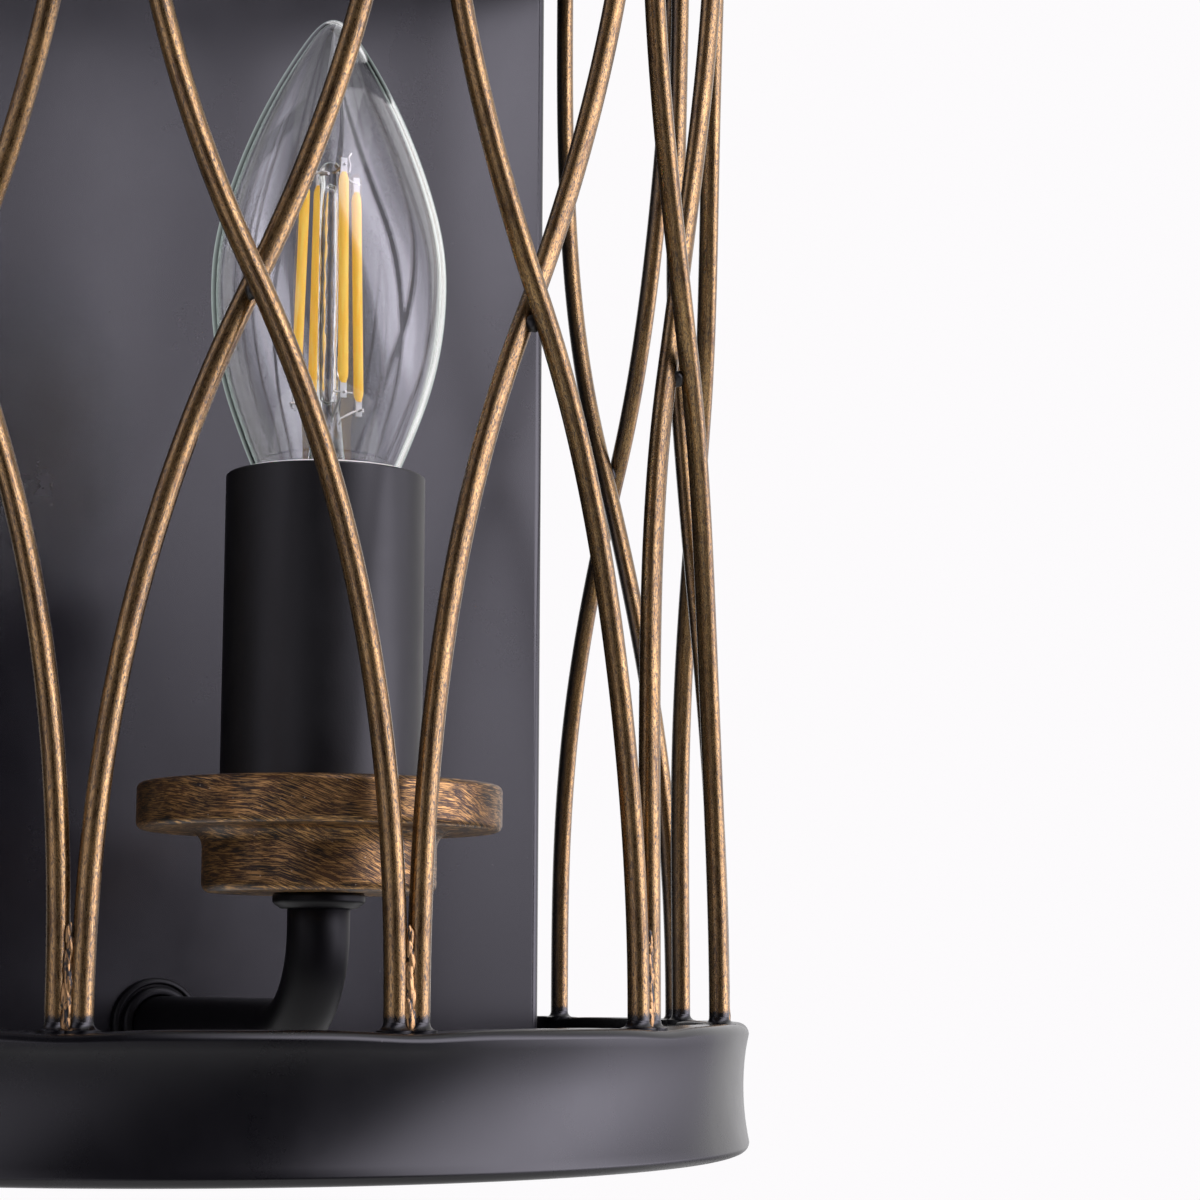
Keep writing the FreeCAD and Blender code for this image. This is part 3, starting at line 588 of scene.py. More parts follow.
@dataclass(frozen=True)
class Phosphor(Finish):
    """Yellow phosphor filament coat, thicker in some places than in others, shining with painted light.
    """

    thick: Colour = (0.95, 0.55, 0.035)
    thin: Colour = (1.0, 0.74, 0.17)
    painted_glow: Colour = (1.0, 0.52, 0.06)
    streak_grain: Triple = (0.7, 0.7, 7.0)
    skin_grain: float = 0.12
    skin: float = 0.02

    def lay(self, bench: NodeBench) -> None:
        """Lay the coat out: soft lengthwise tone changes, a grainy skin and painted light from within.

        Args:
            bench: the bench that it is laid out on.
        """
        streak = bench.cloud(bench.where(self.streak_grain), detail=3.0, rough=0.55)
        grain = bench.cloud(bench.where(even(self.skin_grain)), detail=2.0, rough=0.7)
        bench.drive("Base Color", bench.mix(bench.ramp(streak, [(0.34, 0.0), (0.66, 1.0)]),
                                            self.thick, self.thin))
        bench.drive("Roughness", bench.ramp(grain, [(0.3, 0.42), (0.7, 0.6)]))
        bench.drive("Normal", bench.relief(grain, self.skin))
        # Painted light: the filament shines though the bulb is not lit.
        bench.fix(Subsurface_Weight=0.25, Subsurface_Scale=0.0006, Emission_Color=self.painted_glow,
                  Emission_Strength=0.38)


@dataclass(frozen=True)
class PaleFloor(Finish):
    """Plain pale matt paper of the studio floor."""

    tone: Colour = (0.93, 0.955, 0.86)
    mottle_grain: float = 60.0

    def lay(self, bench: NodeBench) -> None:
        """Lay the paper out with a hardly visible mottle.

        Args:
            bench: the bench that it is laid out on.
        """
        mottle = bench.cloud(bench.where(even(self.mottle_grain)), detail=3.0, rough=0.5)
        paler: Colour = tuple(part * 1.03 for part in self.tone)
        bench.drive("Base Color", bench.mix(mottle, self.tone, paler))
        bench.fix(Roughness=0.9)


BOX_BLACK = SatinBlack("box lacquer", (0.0035, 0.0030, 0.0048), (0.0060, 0.0052, 0.0078),
                       0.235, 0.0003, 0.55)
BAND_BLACK = SatinBlack("band lacquer", (0.0010, 0.0009, 0.0017), (0.0024, 0.0021, 0.0032),
                        0.265, 0.0010)
ARM_BLACK = SatinBlack("arm lacquer", (0.0008, 0.0007, 0.0013), (0.0020, 0.0017, 0.0027),
                       0.40, 0.008, 0.2)
ROD_BRONZE = RubbedBronze("rubbed bronze")
WELD_MIXED = WeldScale("weld scale", bare=0.45)
WELD_BLACK = WeldScale("weld spot", bare=0.70)
PAN_BRONZE = BrushedBronze("wiped bronze")
SLEEVE_BLACK = Moulded("sleeve plastic", (0.0009, 0.0008, 0.0013), 0.36, 0.010, 0.012)
HOLDER_CREAM = Moulded("holder plastic", (0.90, 0.86, 0.76), 0.42, 0.006, 0.08, 0.1)
BLOCK_CREAM = Moulded("block plastic", (0.78, 0.77, 0.72), 0.40, 0.005, 0.05, 0.1)
LEAD_WHITE = Moulded("lead sleeve", (0.70, 0.70, 0.67), 0.38, 0.003, 0.05)
CAP_BLACK = Moulded("cap glass", (0.012, 0.012, 0.013), 0.12, 0.002, 0.02)
PIN_WHITE = Moulded("filament pins", (0.86, 0.86, 0.84), 0.30, 0.004, 0.02)
ZINC = Plated("zinc plate", (0.60, 0.61, 0.63), (0.42, 0.43, 0.44), 0.30)
NICKEL = Plated("nickel", (0.70, 0.68, 0.64), (0.50, 0.46, 0.40), 0.20)
BRASS = Plated("brass", (0.72, 0.54, 0.25), (0.42, 0.29, 0.13), 0.26)
SOLDER = Plated("solder", (0.62, 0.62, 0.63), (0.36, 0.36, 0.37), 0.36)
WIRE = Plated("drawn wire", (0.52, 0.50, 0.47), (0.16, 0.14, 0.13), 0.25)
# edge sets how brightly each glass's rim shines with painted light.
BULB_GLASS = ClearGlass("bulb glass", edge=0.45)
STEM_GLASS = ClearGlass("stem glass", (0.97, 0.975, 0.965), ripple=0.16, rough=0.02, edge=0.55,
                        grain=1.4)
PHOSPHOR = Phosphor("phosphor")


# Shaping


@dataclass(frozen=True)
class Corner:
    """A corner of a turned outline: its radius, its height and how softly it is rounded."""

    radius: float
    height: float
    soft: float = 0.0


Outline = tuple[Corner, ...]


@dataclass(frozen=True)
class Span:
    """The box that a CAD node fills at rest, in millimetres."""

    low: Vector
    high: Vector

    @classmethod
    def of(cls, node: str) -> "Span":
        """The span of a node, by its name."""
        low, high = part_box(node)
        return cls(Vector(low) / MM, Vector(high) / MM)

    @property
    def middle(self) -> Vector:
        """The middle of the span."""
        return (self.low + self.high) / 2

    @property
    def foot(self) -> Vector:
        """The middle of the span's bottom."""
        return Vector((self.middle.x, self.middle.y, self.low.z))


def edges_of(verts: Sequence[bmesh.types.BMVert]) -> list[bmesh.types.BMEdge]:
    """The edges that meet at points, each once and in the same order in every run."""
    return list(dict.fromkeys(edge for vert in verts for edge in vert.link_edges))


def verts_of(edges: Sequence[bmesh.types.BMEdge]) -> list[bmesh.types.BMVert]:
    """The points at the ends of edges, each once and in the same order in every run."""
    return list(dict.fromkeys(vert for edge in edges for vert in edge.verts))


class Mould:
    """A mesh in the making, in millimetres."""

    def __init__(self) -> None:
        """Start with nothing."""
        self.mesh: bmesh.types.BMesh = bmesh.new()

    def point(self, place: Sequence[float]) -> bmesh.types.BMVert:
        """Put down one point."""
        return self.mesh.verts.new(place)

    def everything(self) -> list:
        """All points, edges and faces, for the operators that take them together."""
        return [*self.mesh.verts, *self.mesh.edges, *self.mesh.faces]

    def tidy(self) -> None:
        """Close the seams and poles, and turn every face outwards."""
        bmesh.ops.remove_doubles(self.mesh, verts=self.mesh.verts[:], dist=MERGE)
        bmesh.ops.recalc_face_normals(self.mesh, faces=self.mesh.faces[:])

    def line_to(self, last: bmesh.types.BMVert, place: Sequence[float]) -> bmesh.types.BMVert:
        """Draw a straight line on from a point.

        Args:
            last: the point.
            place: where the line ends.

        Returns:
            The new point.
        """
        drawn = bmesh.ops.extrude_vert_indiv(self.mesh, verts=[last])["verts"][0]
        drawn.co = Vector(place)
        return drawn

    def arc_on(self, last: bmesh.types.BMVert, centre: Sequence[float], axis: Sequence[float],
               angle: float, steps: int) -> bmesh.types.BMVert:
        """Draw an arc on from a point, by spinning it.

        Args:
            last: the point.
            centre: the arc's centre.
            axis: the axis that it turns about.
            angle: how far it turns.
            steps: how many steps it has.

        Returns:
            The arc's last point.
        """
        spun = bmesh.ops.spin(self.mesh, geom=[last], cent=centre, axis=axis, angle=angle,
                              steps=steps, use_merge=False, use_duplicate=False)
        return next(part for part in spun["geom_last"] if isinstance(part, bmesh.types.BMVert))

    def turn(self, corners: Sequence[Corner], steps: int = 64, closed: bool = True,
             easing: int = 4) -> "Mould":
        """Turn an outline about the upright axis, and round its corners.

        Args:
            corners: the outline's corners, in order.
            steps: how many steps make the full turn.
            closed: whether the last corner joins the first.
            easing: how many steps round a corner.

        Returns:
            The mould itself.
        """
        drawn = [self.point((corner.radius, 0, corner.height)) for corner in corners]
        ends = drawn[1:] + drawn[:1] if closed else drawn[1:]
        wire = [self.mesh.edges.new(pair) for pair in zip(drawn, ends)]
        bmesh.ops.spin(self.mesh, geom=drawn + wire, cent=(0, 0, 0), axis=(0, 0, 1),
                       angle=math.tau, steps=steps, use_merge=True, use_duplicate=False)
        self.tidy()
        for corner in corners:
            if corner.soft:
                self.ease(self.rim(corner), corner.soft, easing)
        return self

    def rim(self, corner: Corner) -> list[bmesh.types.BMEdge]:
        """The ring of edges that a turned corner left.

        Args:
            corner: the corner.

        Returns:
            The ring's edges.
        """
        def on_it(vert: bmesh.types.BMVert) -> bool:
            """Whether a point is on the ring."""
            return (abs(vert.co.xy.length - corner.radius) < NEAR
                    and abs(vert.co.z - corner.height) < NEAR)

        return [edge for edge in self.mesh.edges if all(on_it(vert) for vert in edge.verts)]

    def ease(self, edges: list[bmesh.types.BMEdge], by: float, steps: int) -> None:
        """Round edges over by a distance."""
        bmesh.ops.bevel(self.mesh, geom=edges, offset=by, offset_type="OFFSET", segments=steps,
                        profile=0.5, affect="EDGES", material=-1, clamp_overlap=True)

    def block(self, low: Sequence[float], high: Sequence[float], soft: float = 0.0,
              steps: int = 3) -> "Mould":
        """A block between two corners, with its edges rounded over.

        Args:
            low: its lowest corner.
            high: its highest corner.
            soft: how far its edges are rounded over.
            steps: how many steps round an edge.

        Returns:
            The mould itself.
        """
        low, high = Vector(low), Vector(high)
        middle, size = (low + high) / 2, high - low
        made = bmesh.ops.create_cube(self.mesh, size=1.0, matrix=Matrix.LocRotScale(middle, None, size))
        if soft:
            self.ease(edges_of(made["verts"]), soft, steps)
        return self

    def ring(self, radius: float, steps: int, place: Matrix) -> list[bmesh.types.BMEdge]:
        """A ring of edges about a place's own Z axis.

        Args:
            radius: its radius.
            steps: how many edges it has.
            place: the place of its middle, with its axes.

        Returns:
            The ring's edges.
        """
        made = bmesh.ops.create_circle(self.mesh, cap_ends=False, radius=radius, segments=steps,
                                       matrix=place)
        return edges_of(made["verts"])

    def push(self, edges: list[bmesh.types.BMEdge], move: Matrix) -> list[bmesh.types.BMEdge]:
        """Draw a ring of edges on into a new place.

        Args:
            edges: the ring's edges.
            move: what brings the ring to its new place.

        Returns:
            The edges of the new ring.
        """
        made = bmesh.ops.extrude_edge_only(self.mesh, edges=edges)["geom"]
        verts = [part for part in made if isinstance(part, bmesh.types.BMVert)]
        bmesh.ops.transform(self.mesh, matrix=move, verts=verts)
        return [part for part in made if isinstance(part, bmesh.types.BMEdge)
                and all(vert in verts for vert in part.verts)]

    def swing(self, edges: list[bmesh.types.BMEdge], centre: Sequence[float],
              axis: Sequence[float], angle: float, steps: int) -> list[bmesh.types.BMEdge]:
        """Draw a ring of edges on round a centre.

        Args:
            edges: the ring's edges.
            centre: a point on the axis.
            axis: the axis that it turns about.
            angle: how far it turns.
            steps: how many steps it takes.

        Returns:
            The edges of the last ring.
        """
        spun = bmesh.ops.spin(self.mesh, geom=edges + verts_of(edges), cent=centre, axis=axis,
                              angle=angle, steps=steps, use_merge=False, use_duplicate=False)
        return [part for part in spun["geom_last"] if isinstance(part, bmesh.types.BMEdge)]

    def cap(self, edges: list[bmesh.types.BMEdge]) -> None:
        """Close a ring of edges with one face."""
        bmesh.ops.edgeloop_fill(self.mesh, edges=edges)

    def take(self, other: "Mould", place: Optional[Matrix] = None) -> "Mould":
        """Add another mould's mesh at a place, and use that mould up.

        Args:
            other: the other mould.
            place: where its mesh goes.

        Returns:
            The mould itself.
        """
        held = bpy.data.meshes.new("held")
        other.mesh.to_mesh(held)
        other.mesh.free()
        if place is not None:
            held.transform(place)
        self.mesh.from_mesh(held)
        bpy.data.meshes.remove(held)
        return self

    def bring(self, place: Matrix) -> "Mould":
        """Move the whole mesh."""
        bmesh.ops.transform(self.mesh, matrix=place, verts=self.mesh.verts[:])
        return self

    def slot(self, width: float, within: float, depth: float) -> "Mould":
        """Sink a cross recess into the flat top of a turned head, whose top is at zero.

        Args:
            width: width of the recess's arms.
            within: how far its arms reach.
            depth: how deep it is.

        Returns:
            The mould itself.
        """
        for along in (Vector((1, 0, 0)), Vector((0, 1, 0))):
            for hand in (-1, 1):
                bmesh.ops.bisect_plane(self.mesh, geom=self.everything(), dist=MERGE / 4,
                                       plane_co=along * hand * width / 2, plane_no=along)
        chosen = []
        for face in self.mesh.faces:
            centre = face.calc_center_median()
            arm = min(abs(centre.x), abs(centre.y)) < width / 2
            if arm and centre.xy.length < within and abs(centre.z) < MERGE:
                chosen.append(face)
        sunk = bmesh.ops.extrude_face_region(self.mesh, geom=chosen)["geom"]
        verts = [part for part in sunk if isinstance(part, bmesh.types.BMVert)]
        bmesh.ops.translate(self.mesh, vec=(0, 0, -depth), verts=verts)
        bmesh.ops.delete(self.mesh, geom=[face for face in chosen if face.is_valid],
                         context="FACES_ONLY")
        bmesh.ops.recalc_face_normals(self.mesh, faces=self.mesh.faces[:])
        return self

    def done(self, name: str, body: Body, finish: Finish, slot: str,
             replaces: Sequence[str] = (), wall: float = 0.0, smooth: int = 0,
             edge: float = 0.0) -> bpy.types.Object:
        """Finish the piece: bring it to metres, dress it and let it ride.

        Args:
            name: the piece's name.
            body: the body that it rides on.
            finish: the finish that it wears.
            slot: the record's material slot; not used.
            replaces: the CAD nodes that it stands for.
            wall: thickness that a shell is given inwards, in millimetres.
            smooth: levels of subdivision.
            edge: width of the bevel on sharp edges, in millimetres.

        Returns:
            The piece's object.
        """
        mesh = bpy.data.meshes.new(name)
        self.bring(Matrix.Scale(MM, 4))
        self.mesh.to_mesh(mesh)
        self.mesh.free()
        mesh.shade_smooth()
        mesh.set_sharp_from_angle(angle=SHARP)
        piece = bpy.data.objects.new(name, mesh)
        bpy.context.scene.collection.objects.link(piece)
        if wall:
            shell = piece.modifiers.new("Wall", "SOLIDIFY")
            shell.thickness, shell.offset = wall * MM, -1.0
        if smooth:
            rounder = piece.modifiers.new("Smooth", "SUBSURF")
            rounder.levels = rounder.render_levels = smooth
        if edge:
            softer = piece.modifiers.new("Edge", "BEVEL")
            softer.width, softer.segments, softer.limit_method = edge * MM, 3, "ANGLE"
            softer.angle_limit, softer.harden_normals = SHARP, True
        if not smooth:
            flatter = piece.modifiers.new("Flats", "WEIGHTED_NORMAL")
            flatter.keep_sharp = True
        mesh.materials.append(finish.material())
        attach(piece, body.value)
        if replaces:
            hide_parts(*replaces)
        LOG.info("%s rides on %s", name, body.value)
        return piece


def at(place: Sequence[float]) -> Matrix:
    """A plain move to a place."""
    return Matrix.Translation(Vector(place))


def lump(radius: float, stretch: Sequence[float], place: Vector, seed: float,
         unrest: float) -> Mould:
    """A small uneven blob of weld.

    Args:
        radius: its radius.
        stretch: how far it is stretched along each axis.
        place: where its middle is.
        seed: which unevenness it gets.
        unrest: how uneven it is, as a share of its radius.

    Returns:
        The blob as a mould.
    """
    blob, waves, start = Mould(), 1.3, Vector((seed, seed * 0.7, 0))
    bmesh.ops.create_icosphere(blob.mesh, subdivisions=3, radius=radius)
    for vert in blob.mesh.verts:
        wave = noise.noise(vert.co * (waves / radius) + start)
        vert.co *= 1 + unrest * wave
    blob.bring(Matrix.Diagonal((*stretch, 1)))
    return blob.bring(at(place))


# The cage


@dataclass
class CagePlan:
    """Plan of the cage: a front arc, a flatter arc on each side and a tight rear corner."""

    half_width: float = 90.0
    reach: float = 103.0
    front_radius: float = 80.01
    line_y: float = -37.45
    corner_radius: float = 6.0
    rear_y: float = -6.0
    box_side: float = 71.0
    bays: int = 8

    def __post_init__(self) -> None:
        """Work the arcs out from the sizes."""
        self.front_centre = self.reach - self.front_radius
        self.side_radius = ((self.half_width ** 2 + self.front_centre ** 2 - self.front_radius ** 2)
                            / (2 * (self.half_width - self.front_radius)))
        self.side_centre = self.half_width - self.side_radius
        self.front_sweep = math.atan2(-self.side_centre, self.front_centre)
        self.front_arc = self.front_radius * self.front_sweep
        self.corner_y = self.rear_y - self.corner_radius
        drop = self.corner_y - self.line_y
        inner = self.side_radius - self.corner_radius
        self.corner_x = self.side_centre + math.sqrt(inner ** 2 - drop ** 2)
        self.side_end = math.atan2(drop, self.corner_x - self.side_centre)
        self.side_length = self.side_radius * (math.pi / 2 - self.front_sweep + self.side_end)
        self.spacing = 2 * (self.front_arc + self.side_length) / self.bays

    def along(self, place: Vector) -> float:
        """How far from the front, along the oval, the point nearest to a place is.

        Args:
            place: the place.

        Returns:
            The distance, below zero on the left.
        """
        hand = 1 if place.x >= 0 else -1
        turned = math.atan2(abs(place.x), self.line_y - self.front_centre - place.y)
        if turned <= self.front_sweep:
            return hand * turned * self.front_radius
        turned = math.atan2(abs(place.x) - self.side_centre, self.line_y - place.y)
        return hand * (self.front_arc + (turned - self.front_sweep) * self.side_radius)

    def angle(self, along: float) -> float:
        """Which way the oval faces at a distance along it, counted from the front.

        Args:
            along: the distance, below zero on the left.

        Returns:
            The angle, below zero on the left.
        """
        hand = 1 if along >= 0 else -1
        if abs(along) <= self.front_arc:
            return along / self.front_radius
        return hand * (self.front_sweep + (abs(along) - self.front_arc) / self.side_radius)

    def outward(self, along: float) -> Vector:
        """The outward direction at a distance along the oval."""
        angle = self.angle(along)
        return Vector((math.sin(angle), -math.cos(angle), 0))

    def place(self, along: float, out: float = 0.0, height: float = 0.0) -> Vector:
        """A point at a distance along the oval, moved outward and raised.

        Args:
            along: the distance, below zero on the left.
            out: how far outward the point is moved.
            height: how high it is.

        Returns:
            The point.
        """
        hand = 1 if along >= 0 else -1
        if abs(along) <= self.front_arc:
            centre, radius = Vector((0, self.line_y - self.front_centre, height)), self.front_radius
        else:
            centre, radius = Vector((hand * self.side_centre, self.line_y, height)), self.side_radius
        return centre + self.outward(along) * (radius + out)


@dataclass
class CageBands:
    """The two rolled bands, with a hollowed outer face and rounded lips."""

    plan: CagePlan
    inside: float = 1.8
    outside: float = 4.595
    waist: float = 0.9
    lip: float = 1.4
    inner_ease: float = 0.5
    lip_dip: float = 0.5
    lip_spread: float = 5.0
    lip_reach: float = 4.0
    lip_fade: float = 0.7
    lip_steps: int = 6
    hollow_steps: int = 14
    front_steps: int = 40
    side_steps: int = 52
    corner_steps: int = 12

    def section(self, mould: Mould, low: float, high: float) -> list[bmesh.types.BMEdge]:
        """Draw the band's section at the front of the oval.

        Args:
            mould: the mould that it is drawn in.
            low: height of its bottom.
            high: height of its top.

        Returns:
            The section's edges.
        """
        front = self.plan.line_y - self.plan.reach
        tall = high - low
        chord, sag = tall / 2 - self.lip, self.waist
        hollow = (chord ** 2 + sag ** 2) / (2 * sag)
        sweep = 2 * math.asin(chord / hollow)

        def spot(out: float, up: float) -> Vector:
            """A point of the section, by its outward and upward distance."""
            return Vector((0, front - out, low + up))

        rim, axis = self.outside - self.lip, (1, 0, 0)
        start = mould.point(spot(-self.inside, 0))
        last = mould.line_to(start, spot(rim, 0))
        last = mould.arc_on(last, spot(rim, self.lip), axis, -math.pi / 2, self.lip_steps)
        last = mould.arc_on(last, spot(self.outside - sag + hollow, tall / 2), axis, sweep,
                            self.hollow_steps)
        last = mould.arc_on(last, spot(rim, tall - self.lip), axis, -math.pi / 2, self.lip_steps)
        last = mould.line_to(last, spot(-self.inside, tall))
        mould.mesh.edges.new((last, start))
        return mould.mesh.edges[:]

    def band(self, name: str, node: str, slot: str) -> bpy.types.Object:
        """Roll one band in the place of its CAD node.

        Args:
            name: the piece's name.
            node: the CAD node that it stands for.
            slot: its material slot.

        Returns:
            The piece's object.
        """
        span, plan, mould = Span.of(node), self.plan, Mould()
        edges = self.section(mould, span.low.z, span.high.z)
        edges = mould.swing(edges, (0, plan.line_y - plan.front_centre, 0), UPRIGHT,
                            plan.front_sweep, self.front_steps)
        edges = mould.swing(edges, (plan.side_centre, plan.line_y, 0), UPRIGHT,
                            math.pi / 2 - plan.front_sweep + plan.side_end, self.side_steps)
        edges = mould.swing(edges, (plan.corner_x, plan.corner_y, 0), UPRIGHT,
                            math.pi / 2 - plan.side_end, self.corner_steps)
        edges = mould.push(edges, at((plan.box_side - plan.corner_x, 0, 0)))
        mould.cap(edges)
        bmesh.ops.mirror(mould.mesh, geom=mould.everything(), matrix=Matrix.Identity(4),
                         merge_dist=MERGE, axis="X")
        mould.tidy()
        self.sag(mould, span, 1 if span.middle.z < 0 else -1)
        return mould.done(name, Body.LAMP, BAND_BLACK, slot, (node,), edge=self.inner_ease)

    def sag(self, mould: Mould, span: Span, up: int) -> None:
        """Let the lip at the rods sink a little at each pair of feet, as the paint there does.

        Args:
            mould: the band.
            span: the room that it fills.
            up: 1 where the rods stand on it, -1 where they hang from it.
        """
        plan, spacing = self.plan, self.plan.spacing
        lip = span.high.z if up > 0 else span.low.z
        for vert in mould.mesh.verts:
            depth = abs(vert.co.z - lip) / self.lip_reach
            if depth < 1 and vert.co.y < plan.corner_y:
                place = plan.along(vert.co) / spacing
                near = (place - round(place)) * spacing / self.lip_spread
                dip = self.lip_dip * math.exp(-near * near / 2)
                vert.co.z -= up * dip * (1 - depth) ** self.lip_fade

    def build(self) -> None:
        """Roll both bands."""
        self.band("lower_band", "bottom_band", "bottom_band_paint")
        self.band("upper_band", "top_band", "top_band_paint")


@dataclass
class CageRods:
    """Bowed rods that cross between the bands, and the welds that hold them."""

    plan: CagePlan
    size: float = 3.2
    height: float = 202.0
    draw_in: float = 3.25
    cross_gap: float = 0.3
    pair_gap: float = 0.1
    bend_power: float = 2.39
    stations: int = 84
    sides: int = 16
    seam_high: float = 12.5
    seam_start: float = 0.4
    seam_out: float = 0.88
    seam_sway: float = 0.16
    seam_beads: int = 17
    bead_radius: float = 0.60
    bead_change: float = 0.20
    bead_taper: float = 0.25
    bead_stretch: Triple = (1.1, 0.8, 3.0)
    bead_unrest: float = 0.2
    seed_by_foot: float = 3.7
    seed_by_step: float = 1.9
    sway_beat: float = 2.3
    size_beat: float = 1.7
    spot_radius: float = 1.05
    spot_aside: float = -0.45
    spot_rise: float = -1.7
    spot_stretch: Triple = (0.9, 0.9, 1.25)
    spot_unrest: float = 0.3
    seed_by_bay: float = 2.1
    fillet_foot: float = 2.5
    fillet_sunk: float = 0.9
    fillet_neck: float = 1.5
    fillet_high: float = 1.05
    fillet_sides: int = 28
    cove: float = 1.0
    cove_wide: float = 2.6
    cove_high: float = 0.9
    cove_steps: int = 9

    def __post_init__(self) -> None:
        """Take the spacing of the feet from the plan, and work the stand-offs out."""
        self.bays, self.spacing = self.plan.bays, self.plan.spacing
        self.stand_off = (self.size + self.pair_gap) / 2
        self.apart = (self.size + self.cross_gap) / 2

    def spot(self, foot: int, way: Way, share: float) -> tuple[Vector, Vector]:
        """A point of a rod's line.

        Args:
            foot: number of the foot that it starts from.
            way: which way it leans.
            share: how far up it is, from 0 to 1.

        Returns:
            The point, and the cage's outward direction there.
        """
        start = foot * self.spacing + way.value * self.stand_off
        end = (foot + way.value) * self.spacing - way.value * self.stand_off
        near = min(share, 1 - share)
        bent = 0.5 * (2 * near) ** self.bend_power
        travel = bent if share < 0.5 else 1 - bent
        wave = math.sin(math.pi * share)
        out = -self.draw_in * wave ** 2 - way.value * self.apart * wave ** 4
        along = start + (end - start) * travel
        return (self.plan.place(along, out, self.height * (share - 0.5)),
                self.plan.outward(along))

    def rod(self, name: str, foot: int, way: Way) -> bpy.types.Object:
        """Draw one rod along its line, with its own lengthwise coordinates.

        Args:
            name: name of the piece and of its CAD node.
            foot: number of the foot that it starts from.
            way: which way it leans.

        Returns:
            The piece's object.
        """
        shares = [step / self.stations for step in range(self.stations + 1)]
        line = [self.spot(foot, way, share) for share in shares]
        mould = Mould()
        layer = mould.mesh.verts.layers.float_vector.new("straight")
        edges: list[bmesh.types.BMEdge] = []
        before, run = Matrix.Identity(4), 0.0
        for step, (place, outward) in enumerate(line):
            ahead = line[min(step + 1, self.stations)][0] - line[max(step - 1, 0)][0]
            if step in (0, self.stations):
                ahead = UPRIGHT.copy()
            ahead.normalize()
            across = ahead.cross(outward).normalized()
            out = across.cross(ahead).normalized()
            frame = Matrix((out, across, ahead)).transposed().to_4x4()
            frame.translation = place
            run += (place - line[max(step - 1, 0)][0]).length
            if step == 0:
                edges = mould.ring(self.size / 2, self.sides, frame)
                mould.cap(edges)
            else:
                edges = mould.push(edges, frame @ before.inverted())
            for vert in verts_of(edges):
                local = frame.inverted() @ vert.co
                vert[layer] = Vector((local.x, local.y, run))
            before = frame
        mould.cap(edges)
        bmesh.ops.recalc_face_normals(mould.mesh, faces=mould.mesh.faces[:])
        return mould.done(name, Body.LAMP, ROD_BRONZE, name + "_bronze", (name,))

    def seams(self) -> Mould:
        """Beads of weld between the two rods of each pair, at both bands.

        Returns:
            The beads as a mould.
        """
        beads = Mould()
        for foot in range(1 - self.bays // 2, self.bays // 2):
            for end in (-1, 1):
                for step in range(self.seam_beads):
                    rise = self.seam_high * step / (self.seam_beads - 1)
                    height = end * (self.height / 2 - self.seam_start - rise)
                    seed = foot * self.seed_by_foot + step * self.seed_by_step + end
                    sway = self.seam_sway * math.sin(seed * self.sway_beat)
                    size = (self.bead_radius + self.bead_change * math.sin(seed * self.size_beat)
                            - self.bead_taper * step / self.seam_beads)
                    place = self.plan.place(foot * self.spacing + sway, self.seam_out, height)
                    beads.take(lump(size, self.bead_stretch, place, seed, self.bead_unrest))
        return beads

    def crossings(self) -> Mould:
        """Spots of weld where two rods cross at half height.

        Returns:
            The spots as a mould.
        """
        spots = Mould()
        for bay in range(self.bays):
            along = (bay - self.bays / 2 + 0.5) * self.spacing
            place = self.plan.place(along + self.spot_aside, -self.draw_in, self.spot_rise)
            spots.take(lump(self.spot_radius, self.spot_stretch, place, bay * self.seed_by_bay,
                            self.spot_unrest))
        return spots

    def collars(self) -> Mould:
        """Low fillets of paint and weld round every foot.

        Returns:
            The fillets as a mould.
        """
        fillets = Mould()
        turns = [math.pi / 2 * (1 - step / self.cove_steps) for step in range(self.cove_steps + 1)]
        cove = [Corner(self.cove_wide - self.cove * math.cos(turn),
                       self.cove_high - self.cove * math.sin(turn)) for turn in turns]
        outline = [Corner(0, -self.fillet_sunk), Corner(self.fillet_foot, -self.fillet_sunk), *cove,
                   Corner(self.fillet_neck, self.fillet_high), Corner(0, self.fillet_high)]
        half = self.bays // 2
        for foot in range(-half, half + 1):
            for end in (-1, 1):
                flip = Matrix.Rotation(math.pi if end > 0 else 0.0, 4, "X")
                for hand in (-1, 1):
                    if abs(2 * foot + hand) > 2 * half:
                        continue
                    place = self.plan.place(foot * self.spacing + hand * self.stand_off, 0.0,
                                            end * self.height / 2)
                    fillet = Mould().turn(outline, self.fillet_sides, closed=False)
                    fillets.take(fillet, at(place) @ flip)
        return fillets

    def build(self) -> None:
        """Draw every rod and its welds."""
        for bay in range(self.bays):
            foot = bay - self.bays // 2
            self.rod("rod_right_%d" % (bay + 1), foot, Way.RIGHT)
            self.rod("rod_left_%d" % (bay + 1), foot + 1, Way.LEFT)
        self.seams().done("foot_welds", Body.LAMP, WELD_MIXED, "rod_right_1_bronze")
        self.crossings().done("crossing_welds", Body.LAMP, WELD_BLACK, "rod_right_1_bronze")
        self.collars().done("foot_fillets", Body.LAMP, BAND_BLACK, "bottom_band_paint")


# The wall box


